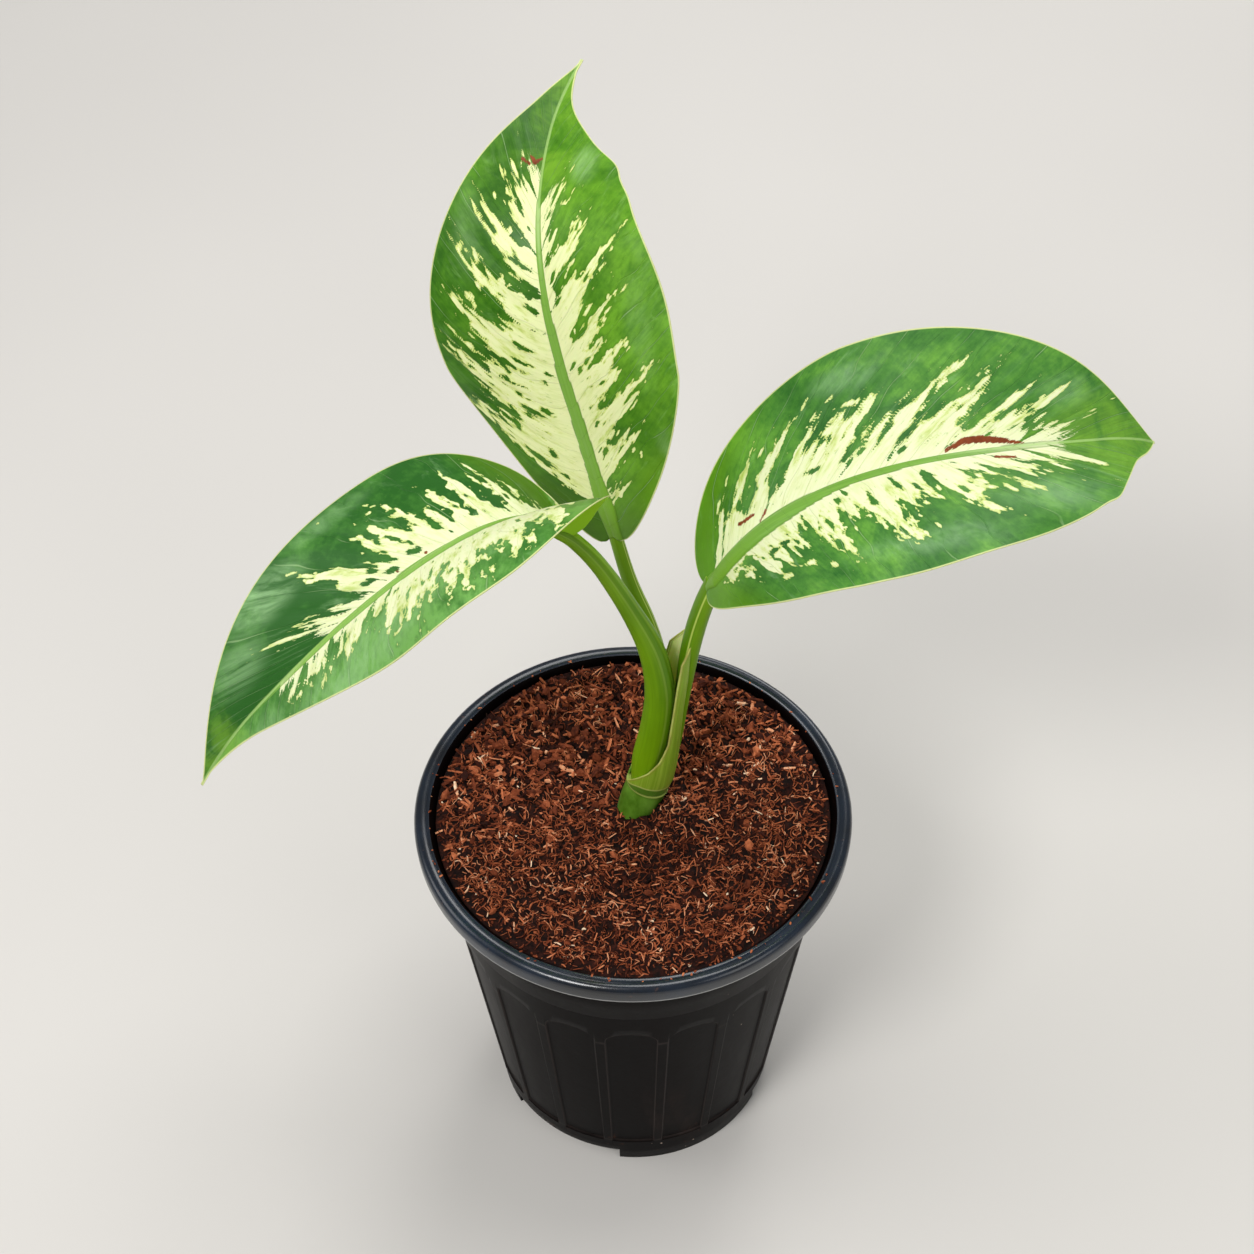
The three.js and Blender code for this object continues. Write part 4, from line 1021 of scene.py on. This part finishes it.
def make_blade(name):
    leaf = LEAVES[name]
    bm, grid, under = sheet(BLADE["rows"], BLADE["columns"])
    spots, at = np.unique(grid[:, :2].round(6), axis=0, return_inverse=True)
    at = at.ravel()
    even = (spots[:, 0] + 1) / 2
    t = lerp(even, (1 - np.cos(math.pi * even)) / 2, BLADE["row_crowding"])
    v = crowd(spots[:, 1], BLADE["column_crowding"])
    reach = np.abs(v)
    left, right = half_blade(leaf, leaf["left"], -1, t, reach), half_blade(leaf, leaf["right"], 1, t, reach)
    on_left = (v < 0)[:, None]
    point, normal = (np.where(on_left, left[k], right[k]) for k in (0, 1))
    length, width = (np.where(v < 0, left[k], right[k]) for k in (2, 3))
    place = midrib_place(leaf, t)
    across = length * np.sign(v)
    vein = np.where(v < 0, vein_place(leaf["lean_left"], place, length),
                    vein_place(leaf["lean_right"], place, length))
    rib, rib_width = band_shape(leaf, place, across)
    margin = np.minimum(width * (1 - reach), place + 3)
    body = BLADE["thin"] + (BLADE["thick"] - BLADE["thin"]) * smooth(margin, 0, 5)
    away = smooth(length, 2, 8) * smooth(margin, 1, 6)
    quilt = -BLADE["vein_relief"] * np.cos(2 * math.pi * vein / BLADE["vein_pitch"]) * away
    swell = BLADE["swell"] * soft_swell(point) * smooth(length, 2, 12) * smooth(margin, 0, 8)
    top = body + quilt + swell + BLADE["crown_share"] * rib_width * rib
    keel = BLADE["rib_height"] * (1 - t) ** BLADE["rib_fade"] * smooth(place, -1, leaf["keel_in"])
    keel *= np.exp(-((length / BLADE["rib_width"]) ** 2))
    bottom = -body - keel + quilt + swell
    final = point[at] + normal[at] * np.where(under, bottom[at], top[at])[:, None]
    marks = np.stack([pale_depth(leaf, vein, across), scar_depth(leaf, place, across), rib], axis=1)
    # the last value places the painted sheen patches and the residue mark
    settle(bm, final, vein=np.stack([vein, across, margin], axis=1)[at], marks=marks[at],
           under=under.astype(float), haze=haze_share(leaf, place, across)[at])
    finish_mesh(bm, f"{name}_blade", leaf_finish(name), node=f"leaf_{name}")


# ---------------------------------------------------------------- stalks, sheath and cane


def stalk_line(stations, t):
    """Smooth centre line through the stations: points, directions and radii at t."""
    stations = np.array(stations, float)
    first, last = 2 * stations[0] - stations[1], 2 * stations[-1] - stations[-2]
    ends = np.vstack([first, stations, last])
    span = np.clip(t, 0, 1) * (len(stations) - 1)
    k = np.minimum(span.astype(int), len(stations) - 2)
    w = (span - k)[:, None]
    a, b, c, d = (ends[k + j][:, :3] for j in range(4))
    m0, m1 = (c - a) / 2, (d - b) / 2
    place = ((2 * w ** 3 - 3 * w ** 2 + 1) * b + (w ** 3 - 2 * w ** 2 + w) * m0
             + (3 * w ** 2 - 2 * w ** 3) * c + (w ** 3 - w ** 2) * m1)
    slope = ((6 * w ** 2 - 6 * w) * b + (3 * w ** 2 - 4 * w + 1) * m0
             + (6 * w - 6 * w ** 2) * c + (3 * w ** 2 - 2 * w) * m1)
    radius = lerp(stations[k, 3], stations[k + 1, 3], w[:, 0])
    return place, unit(slope), radius


def right_section(angle, _):
    """Ridges along both sides of the channel, and a slight hollow between them."""
    first, last = RIGHT_GROOVE
    ridge = sum(np.exp(-((angle - side) / 7) ** 2) for side in (first, last))
    hollow = np.exp(-((angle - (first + last) / 2) / 26) ** 2)
    return 1 + 0.06 * ridge - 0.1 * hollow


def left_section(angle, _):
    """A low seam down the right of the stalk, where its own sheath closes."""
    return 1 + 0.05 * np.exp(-((angle - 40) / 6) ** 2) - 0.04 * np.exp(-((angle - 55) / 9) ** 2)


def round_section(angle, _):
    return np.ones_like(angle)


def cane_section(_, t):
    """The node ring, a thin swelling at the cane's top."""
    return 1 + CANE_MESH["ring_height"] * np.exp(-((1 - t) / CANE_MESH["ring_width"]) ** 2)


SECTIONS = {"left": left_section, "top": round_section, "right": right_section}


def make_stem(name, stations, mesh, section, material, node):
    """A tube along a stalk's centre line; section changes its radius by angle and place."""
    bm = tube(mesh["sides"], mesh["steps"])
    raw = np.array([vert.co for vert in bm.verts])
    t = np.clip(raw[:, 2] + 0.5, 0, 1)
    centre, tangent, radius = stalk_line(stations, t)
    sideways = unit(np.cross([0, 1, 0], tangent))
    forwards = np.cross(sideways, tangent)
    angle = np.degrees(np.arctan2(raw[:, 1], raw[:, 0])) % 360
    scale = radius * section(angle, t)
    final = centre + sideways * (raw[:, 0] * scale)[:, None] + forwards * (raw[:, 1] * scale)[:, None]
    steps_along = np.linspace(0, 1, 300)
    line, _, _ = stalk_line(stations, steps_along)
    along = np.interp(t, steps_along, run_length(line))
    settle(bm, final, skin=np.stack([along, angle, np.zeros_like(t)], axis=1))
    finish_mesh(bm, name, material, sharp_degrees=60, node=node)


def make_sheath():
    bm, grid, under = sheet(SHEATH_SKIN["rows"], SHEATH_SKIN["columns"])
    stations = np.array(SHEATH, float)
    span = (grid[:, 0] + 1) / 2 * (len(stations) - 1)
    z, x, y, rx, ry, lean_x, lean_y, front, back = (
        np.interp(span, np.arange(len(stations)), column) for column in stations.T)
    across = crowd(grid[:, 1], SHEATH_SKIN["crowding"])
    degrees = lerp(front, back, (across + 1) / 2)
    turn = np.radians(degrees)
    girth = (rx + ry) / 2 * np.radians(back - front)
    margin = (1 - np.abs(across)) / 2 * girth
    roll = 1 - smooth(margin, 0, SHEATH_SKIN["border_width"])
    wall = lerp(SHEATH_SKIN["wall"], SHEATH_SKIN["border"], roll * smooth(margin, -0.4, 0.25))
    grow = np.where(under, -wall / 2, wall / 2)
    right, behind = (rx + grow) * np.cos(turn), (ry + grow) * np.sin(turn)
    drop = right * np.tan(np.radians(lean_x)) + behind * np.tan(np.radians(lean_y))
    settle(bm, np.stack([x + right, y + behind, z - drop], axis=1),
           skin=np.stack([z, degrees, margin], axis=1), under=under.astype(float))
    finish_mesh(bm, "right_sheath", sheath_finish(), node="leaf_right")


# ---------------------------------------------------------------- pot

PITCH = 360 / PANEL["count"]
WALL_LEAN = (POT["neck_radius"] - POT["base_radius"]) / POT["neck_height"]


def wall_radius(height):
    return POT["base_radius"] + WALL_LEAN * height


def inner_radius(height):
    return wall_radius(height) - POT["wall"]


def arc_points(centre, radius, start, end, steps):
    """Points of an arc in the half section, angles in degrees from outwards towards up."""
    turns = [math.radians(lerp(start, end, k / steps)) for k in range(steps + 1)]
    return [(centre[0] + radius * math.cos(a), centre[1] + radius * math.sin(a)) for a in turns]


def pot_section():
    """Half section of the pot; a third value names what the moulding does to a point."""
    foot_inner = POT["base_radius"] - POT["foot_width"]
    under, top, rim = POT["neck_height"], POT["height"], POT["rim_radius"]
    bottom, step, band = PANEL["bottom"], PANEL["edge_step"], PANEL["band"]
    section = [
        (0, 0), (POT["pad_radius"] - 0.3, 0), (POT["pad_radius"] + 0.1, 0.3),
        (POT["pad_radius"] + 0.8, POT["underside"]), (foot_inner - 0.4, POT["underside"]),
        (foot_inner, 0.3, "foot"), (foot_inner + 0.25, 0, "foot"), (POT["base_radius"] - 0.3, 0, "foot"),
        (POT["base_radius"], 0.3, "foot"),
    ]
    section += [(wall_radius(z), z) for z in (6, 9, bottom - step)]
    section += [(wall_radius(bottom), bottom, "recess")]
    shares = (0.01, 0.1, 0.2, 0.3, 0.4, 0.5, 0.6, 0.7, 0.8, 0.9, 0.985, 1)
    section += [(wall_radius(PANEL["spring"]), share, "below") for share in shares]
    section += [(wall_radius(PANEL["spring"]), share, "above") for share in (0, 0.3, 0.6, 0.95)]
    section += [
        (wall_radius(band), band), (wall_radius(band) + PANEL["band_step"], band + 0.4),
        (wall_radius(110) + PANEL["band_step"], 110),
        (POT["neck_radius"] + PANEL["band_step"], under - 0.6), (POT["neck_radius"] + 0.6, under + 0.8),
        (POT["neck_radius"] + POT["hem"], under + 4), (rim - 1.7, under + 4.6), (rim - 1.3, under + 0.3),
    ]
    section += arc_points((rim - 0.75, under + 0.3), 0.5, 180, 360, 6)
    section += [(rim - 0.14, under + 0.9)]
    section += arc_points((rim - 2.2, top - 2.2), 2.2, 0, 88, 8)
    section += [(rim - into, top - down) for into, down in LIP]
    section += [(inner_radius(z), z) for z in (under - 2, 90, 50, POT["floor"] + 1)]
    section += [
        (inner_radius(POT["floor"]) - 1, POT["floor"]), (POT["pad_radius"] + 2, POT["floor"]),
        (POT["pad_radius"] + 1, POT["pad_wall"]), (0, POT["pad_wall"]),
    ]
    return section


def panel_columns():
    """Angles of the wall's columns within one panel, from the middle of a rib."""
    edge = PANEL["rib_half"]
    foot = edge + PANEL["slope"]
    count = PANEL["crown_columns"]
    half = PITCH / 2 - foot
    crown = [PITCH / 2 - half * math.cos(math.pi * (k + 0.5) / count) for k in range(count)]
    return [0, edge - 0.2, edge, edge + 0.15, foot - 0.15, foot, *crown,
            PITCH - foot, PITCH - foot + 0.15, PITCH - edge - 0.15, PITCH - edge, PITCH - edge + 0.2]


def arch_height(angle):
    half = PITCH / 2 - PANEL["rib_half"]
    off = min(abs(angle - PITCH / 2) / half, 1)
    return PANEL["spring"] + PANEL["rise"] * math.sqrt(1 - off * off)


def recess_share(angle):
    """How far a panel's face lies in at this angle: 0 on the rib, 1 past its sloping side."""
    into = min(angle, PITCH - angle) - PANEL["rib_half"]
    return float(smooth(np.float64(into), 0, PANEL["slope"]))


def foot_columns(azimuths):
    """Moves the two columns nearest each end of a foot to that end, so its edges stand upright, and
    gives each column's height off the ground."""
    moved = list(azimuths)
    height = []
    for k in range(POT["foot_count"]):
        for end in (0, POT["foot_span"]):
            edge = (POT["foot_start"] + k * 360 / POT["foot_count"] + end) % 360
            order = sorted(range(len(moved)), key=lambda i: abs((azimuths[i] - edge + 180) % 360 - 180))[:2]
            order.sort(key=lambda i: (azimuths[i] - edge + 180) % 360)
            moved[order[0]], moved[order[1]] = edge - POT["foot_slope"], edge + POT["foot_slope"]
    for azimuth in moved:
        along = (azimuth - POT["foot_start"]) % (360 / POT["foot_count"])
        height.append(0 if along < POT["foot_span"] else POT["notch_height"])
    return moved, height


def make_pot():
    section = pot_section()
    columns = [k * PITCH + c + PANEL["first_rib"] for k in range(PANEL["count"]) for c in panel_columns()]
    within = [c for _ in range(PANEL["count"]) for c in panel_columns()]
    foot_azimuth, foot_height = foot_columns([c % 360 for c in columns])
    bm = spun_rows(len(section), len(columns))
    # this layer marks where a painted highlight goes: the ribs' sloping sides, the panels' crests and the
    # rim's lower edge
    edge_highlight_layer = bm.verts.layers.float.new("edge")
    for vert in bm.verts:
        row = round(vert.co.z)
        column = round(math.atan2(vert.co.y, vert.co.x) / (2 * math.pi) * len(columns)) % len(columns)
        radius, height, *rule = section[row]
        azimuth = columns[column]
        if rule == ["foot"]:
            azimuth = foot_azimuth[column]
            height = max(height, foot_height[column] + height)
            radius = min(radius, wall_radius(height)) if radius > POT["base_radius"] - 0.5 else radius
        if rule == ["below"]:
            height = lerp(PANEL["bottom"], arch_height(within[column]), height)
        if rule == ["above"]:
            height = lerp(arch_height(within[column]) + PANEL["edge_step"], PANEL["band"], height)
        if rule in (["below"], ["above"]):
            radius = wall_radius(height)
        if rule in (["below"], ["recess"]):
            radius -= PANEL["depth"] * recess_share(within[column])
            crest = rule == ["recess"] or section[row][1] == 1
            shoulder = 0 < recess_share(within[column]) < 0.4 or within[column] == PANEL["rib_half"]
            vert[edge_highlight_layer] = float(crest or shoulder)
        # a thin painted highlight along the rim's lower edge
        if radius > POT["rim_radius"] - 1.4 and height < POT["neck_height"] + 0.5:
            vert[edge_highlight_layer] = 1
        turn = math.radians(azimuth - 90)
        vert.co = (radius * math.cos(turn), radius * math.sin(turn), height)
    for face in bm.faces:
        middle = face.calc_center_median()
        high = middle.z > POT["neck_height"] - 0.7
        face.material_index = int(high and middle.xy.length > POT["neck_radius"] + POT["hem"])
    pot = finish_mesh(bm, "pot_moulding", pot_finish(), sharp_degrees=38, node="pot")
    pot.data.materials.append(rim_finish())
    drill_drains(pot)


def drill_drains(pot):
    """Cuts the drain holes through the floor."""
    bm = bmesh.new()
    middle = (POT["floor"] + POT["underside"]) / 2
    for k in range(POT["drain_count"]):
        turn = 2 * math.pi * (k + 0.5) / POT["drain_count"]
        place = Vector((math.cos(turn), math.sin(turn), 0)) * POT["drain_circle"] + Vector((0, 0, middle))
        bmesh.ops.create_cone(bm, cap_ends=True, segments=32, radius1=POT["drain_radius"],
                              radius2=POT["drain_radius"], depth=4, matrix=Matrix.Translation(place))
    bmesh.ops.scale(bm, vec=(MM, MM, MM), verts=bm.verts)
    cutter = add_mesh(bm, "drain_cutter")
    cut = pot.modifiers.new("drains", "BOOLEAN")
    cut.object = cutter
    cut.solver = "EXACT"
    bpy.context.view_layer.update()
    evaluated = pot.evaluated_get(bpy.context.evaluated_depsgraph_get())
    drilled = bpy.data.meshes.new_from_object(evaluated)
    pot.modifiers.clear()
    pot.data = drilled
    bpy.data.objects.remove(cutter)


# ---------------------------------------------------------------- soil


def soil_level(x, y):
    """Height of the soil, as the part's source has it, without the lumps."""
    radius = math.hypot(x, y)
    bowl = float(smooth(radius, *SOIL["bowl"])) * (SOIL["shoulder"] - SOIL["middle"])
    level = SOIL["middle"] + bowl + SOIL["rise"] * y
    away = math.hypot(x - SOIL["heap_at"][0], y - SOIL["heap_at"][1])
    return level + SOIL["heap"] * (1 - float(smooth(away, 0, SOIL["heap_radius"])))


def soil_lumps(x, y):
    """Height of the lumps: coarse ones, larger towards the back, and fine ones."""
    place = Vector((x, y, 0))
    coarse = noise.noise(place / 4.2) + 0.5 * noise.noise(place / 2.1 + Vector((9, 4, 2)))
    fine = noise.noise(place / 0.95 + Vector((3, 8, 5))) + 0.5 * noise.noise(place / 0.5)
    back = 1 + 0.9 * float(smooth(y, 5, 45))
    return back * SOIL["coarse"] * coarse + SOIL["fine"] * fine


def soil_surface(x, y):
    radius = math.hypot(x, y)
    edge = SOIL["edge"] + SOIL["rise"] * y
    return lerp(soil_level(x, y) + soil_lumps(x, y), edge, float(smooth(radius, *SOIL["edge_fall"])))


def make_soil(material):
    clear = SOIL["clearance"]
    bottom = POT["floor"] + clear
    hole_floor = CANE[0][2] - clear
    outline = [
        (0, POT["pad_wall"] + clear), (POT["pad_radius"] + 0.6, POT["pad_wall"] + clear),
        (POT["pad_radius"] + 1.6, bottom), (inner_radius(POT["floor"]) - 1.2, bottom),
        (inner_radius(bottom + 1) - clear, bottom + 1), (inner_radius(60) - clear, 60),
        (inner_radius(SOIL["neck"]) - clear, SOIL["neck"]),
    ]
    rings = SOIL["rings"]
    rows = len(outline) + rings + 1 + 2
    bm = spun_rows(rows, SOIL["columns"])
    cane_top, _, cane_radius = stalk_line(CANE, np.array([SOIL["hole_place"]]))
    hole = Vector((cane_top[0][0], cane_top[0][1]))
    hole_radius = float(cane_radius[0]) + SOIL["hole_gap"]
    low, _, low_radius = stalk_line(CANE, np.array([0.0]))
    tint = bm.verts.layers.float.new("tint")
    middle, spread = SOIL["bed_tint"]
    for vert in bm.verts:
        row = round(vert.co.z)
        turn = math.atan2(vert.co.y, vert.co.x)
        way = Vector((math.cos(turn), math.sin(turn)))
        vert[tint] = SOIL["side_tint"]
        if row < len(outline):
            radius, height = outline[row]
            vert.co = (way.x * radius, way.y * radius, height)
        elif row <= len(outline) + rings:
            share = 1 - (row - len(outline)) / rings
            at = (hole + way * hole_radius).lerp(way * SOIL["edge_radius"], share)
            vert.co = (at.x, at.y, soil_surface(at.x, at.y))
            vert[tint] = middle + spread * noise.noise(Vector((at.x, at.y, 3)) / 1.2)
        else:
            radius = float(low_radius[0]) + clear if row < rows - 1 else 0
            vert.co = (low[0][0] + way.x * radius, low[0][1] + way.y * radius, hole_floor)
    finish_mesh(bm, "soil_bed", material, node="soil")


def scatter(template, copies):
    """Doubles the shape in a bmesh until there are enough copies, and says how many vertices each
    copy has."""
    size = len(template.verts)
    while len(template.verts) < size * copies:
        geometry = template.verts[:] + template.edges[:] + template.faces[:]
        bmesh.ops.duplicate(template, geom=geometry)
    return size


def patch_tone(x, y):
    """Slow change of tint over the bed, from darker to lighter."""
    fine_bed = math.exp(-((x - 6) / 20) ** 2 - ((y + 16) / 14) ** 2)
    slow = 0.16 * noise.noise(Vector((x, y, 20)) / 7) + 0.1 * noise.noise(Vector((x, y, 30)) / 2.5)
    return slow - 0.07 * fine_bed


def random_place(draw, look):
    """A place on the soil, clear of the cane."""
    while True:
        radius = look["outer"] * math.sqrt(draw.random())
        turn = draw.uniform(0, 2 * math.pi)
        x, y = radius * math.cos(turn), radius * math.sin(turn)
        if math.hypot(x - COIR["cane"][0], y - COIR["cane"][1]) > COIR["cane_radius"] + look["gap"]:
            return x, y


def back_share(x, y, start, end):
    """How far back a place lies, turned a little to the left: 0 at the start, 1 past the end."""
    return float(smooth(y - 0.3 * x, start, end))


def draw_tint(draw, look, x, y, darker=0):
    middle, spread, low, high = look["tint"]
    return min(max(draw.gauss(middle - darker, spread) + patch_tone(x, y), low), high)


def lying_frame(draw, tilt):
    """A random heading, nearly level: length, breadth and upright directions."""
    heading = draw.uniform(0, 2 * math.pi)
    turn = Matrix.Rotation(heading, 3, "Z") @ Matrix.Rotation(draw.uniform(-tilt, tilt), 3, "Y")
    return turn @ Matrix.Rotation(draw.uniform(0, 2 * math.pi), 3, "X")


def icosphere():
    bm = bmesh.new()
    bmesh.ops.create_icosphere(bm, subdivisions=1, radius=1)
    return bm


def strew(kind, bm, choose, shape, material):
    """Copies the small shape in a bmesh as often as its kind asks. For each copy, choose draws its
    values, the last of them its tint, and shape puts its vertices in place."""
    look = COIR[kind]
    draw = random.Random(look["seed"])
    size = scatter(bm, look["count"])
    tint = bm.verts.layers.float.new("tint")
    for i, vert in enumerate(bm.verts):
        if i % size == 0:
            *values, tone = choose(draw, look)
        vert.co = shape(vert.co, look, *values)
        vert[tint] = tone
    finish_mesh(bm, f"coir_{kind}", material, sharp_degrees=look["sharp"])


def choose_chip(draw, look):
    """A short bent sliver of coir, longer and thicker towards the back wall."""
    x, y = random_place(draw, look)
    back = back_share(x, y, -8, 30)
    length = draw.uniform(look["length"][0], look["length"][1] + look["longer_at_back"] * back)
    girth = draw.uniform(look["girth"][0], look["girth"][1] + look["thicker_at_back"] * back)
    tone = draw_tint(draw, look, x, y, look["darker_at_back"] * back)
    z = soil_surface(x, y) + draw.uniform(*look["lift"])
    return x, y, z, length, girth, draw.uniform(-1, 1), lying_frame(draw, look["tilt"]), tone


def chip_point(point, look, x, y, z, length, girth, bend, turn):
    taper = 1 - 1.1 * point.z * point.z
    shape = Vector((point.z * length, point.x * girth * taper, point.y * girth * 0.7 * taper))
    shape.y += bend * look["bend"] * (point.z * point.z - 0.08)
    shape = turn @ shape
    return x + shape.x, y + shape.y, z + max(shape.z, look["lowest"])


def choose_crumb(draw, look):
    """An angular crumb, large more often towards the back wall, and now and then a small white one."""
    x, y = random_place(draw, look)
    large = draw.random() < look["large_share"] + look["more_at_back"] * back_share(x, y, 0, 40)
    radius = draw.uniform(*look["large" if large else "small"])
    tone = draw_tint(draw, look, x, y)
    if draw.random() < look["white_share"]:
        tone = 1.0
        radius = draw.uniform(*look["white"])
    reach = min(1.0, (look["wall"] - math.hypot(x, y)) / radius)
    z = soil_surface(x, y) + radius * draw.uniform(*look["lift"])
    return (x, y, z, radius * reach, draw.uniform(*look["flat"]), lying_frame(draw, look["tilt"]),
            draw.random() * 60, tone)


def crumb_point(point, look, x, y, z, radius, flat, turn, seed):
    rough = 1 + look["roughness"] * noise.noise(point * 1.6 + Vector((seed, seed, 0)))
    shape = turn @ Vector((point.x * radius * rough, point.y * radius * rough * look["breadth"],
                           point.z * radius * flat * rough))
    return x + shape.x, y + shape.y, z + shape.z


def choose_fibre(draw, look):
    """A thin curling fibre, paler than most chips."""
    x, y = random_place(draw, look)
    tone = draw_tint(draw, look, x, y)
    return (x, y, draw.uniform(*look["length"]), draw.uniform(*look["girth"]), draw.uniform(0, 2 * math.pi),
            draw.uniform(*look["curl"]), draw.uniform(0, 6), tone)


def fibre_point(point, look, x, y, length, girth, heading, curl, wag):
    turn = heading + curl * point.z
    px = x + math.cos(turn) * point.z * length + look["wag"] * math.sin(wag + 7 * point.z)
    py = y + math.sin(turn) * point.z * length + look["wag"] * math.cos(wag + 6 * point.z)
    side = Vector((-math.sin(turn), math.cos(turn))) * point.x * girth
    lift = look["lift"][0] + look["lift"][1] * math.sin(wag + 5 * point.z)
    return px + side.x, py + side.y, soil_surface(px, py) + lift + point.y * girth


def choose_rim_bit(draw, look):
    """A bit of coir that sticks to the rim's inner lip."""
    radius = draw.uniform(*look["radius"])
    azimuth = draw.uniform(0, 2 * math.pi)
    return (radius * math.cos(azimuth), radius * math.sin(azimuth), POT["height"] - look["below_top"],
            draw.uniform(*look["breadth"]), draw.uniform(*look["stretch"]),
            lying_frame(draw, look["tilt"]), draw.uniform(*look["tint"]))


def rim_bit_point(point, look, x, y, z, breadth, stretch, turn):
    shape = turn @ Vector((point.x * breadth * stretch, point.y * breadth, point.z * breadth * 0.7))
    return x + shape.x, y + shape.y, min(z + look["lift"] + shape.z, POT["height"])


# ---------------------------------------------------------------- studio


def make_floor():
    bm = bmesh.new()
    bmesh.ops.create_circle(bm, cap_ends=True, segments=96, radius=FLOOR_RADIUS)
    floor = add_mesh(bm, "studio_floor")
    floor.data.materials.append(floor_finish())


def make_light(name, place, size, power):
    light = bpy.data.lights.new(name, "AREA")
    light.shape = "DISK"
    light.size = size
    light.energy = power
    lamp = bpy.data.objects.new(name, light)
    lamp.location = place
    lamp.rotation_euler = (Vector(LIGHT_AIM) - Vector(place)).to_track_quat("-Z", "Y").to_euler()
    bpy.context.scene.collection.objects.link(lamp)


def make_studio():
    scene = bpy.context.scene
    scene.view_settings.view_transform = "Standard"
    world = bpy.data.worlds.new("studio sky")
    world.use_nodes = True
    background = world.node_tree.nodes["Background"]
    background.inputs["Color"].default_value = SKY["colour"]
    background.inputs["Strength"].default_value = SKY["strength"]
    scene.world = world
    for name, light in LIGHTS.items():
        make_light(name, *light)
    make_floor()


def make_camera():
    lens = bpy.data.cameras.new("photo camera")
    lens.sensor_width = CAMERA["sensor"]
    lens.lens = CAMERA["focal_pixels"] / CAMERA["picture"] * CAMERA["sensor"]
    camera = bpy.data.objects.new("photo_camera", lens)
    tilt = Matrix.Rotation(math.radians(90 - CAMERA["elevation"]), 4, "X")
    roll = Matrix.Rotation(math.radians(CAMERA["roll"]), 4, "Z")
    camera.matrix_world = Matrix.Translation(Vector(CAMERA["place"]) * MM) @ tilt @ roll
    bpy.context.scene.collection.objects.link(camera)
    bpy.context.scene.camera = camera


# ---------------------------------------------------------------- assembly

make_camera()
make_studio()
make_pot()
coir = soil_finish("coir soil", SOIL["loose_shift"])
make_soil(soil_finish("coir bed", SOIL["bed_shift"]))
strew("chips", tube(4, 3), choose_chip, chip_point, coir)
strew("crumbs", icosphere(), choose_crumb, crumb_point, coir)
strew("fibres", tube(3, 8), choose_fibre, fibre_point, coir)
strew("rim_bits", icosphere(), choose_rim_bit, rim_bit_point, coir)
make_stem("cane_stem", CANE, CANE_MESH, cane_section, cane_finish(), "cane")
for leaf_name, line in STALKS.items():
    node = f"leaf_{leaf_name}"
    make_stem(f"{leaf_name}_stalk", line, STALK_MESH[leaf_name], SECTIONS[leaf_name],
              stalk_finish(leaf_name), node)
make_sheath()
for leaf_name in LEAVES:
    make_blade(leaf_name)
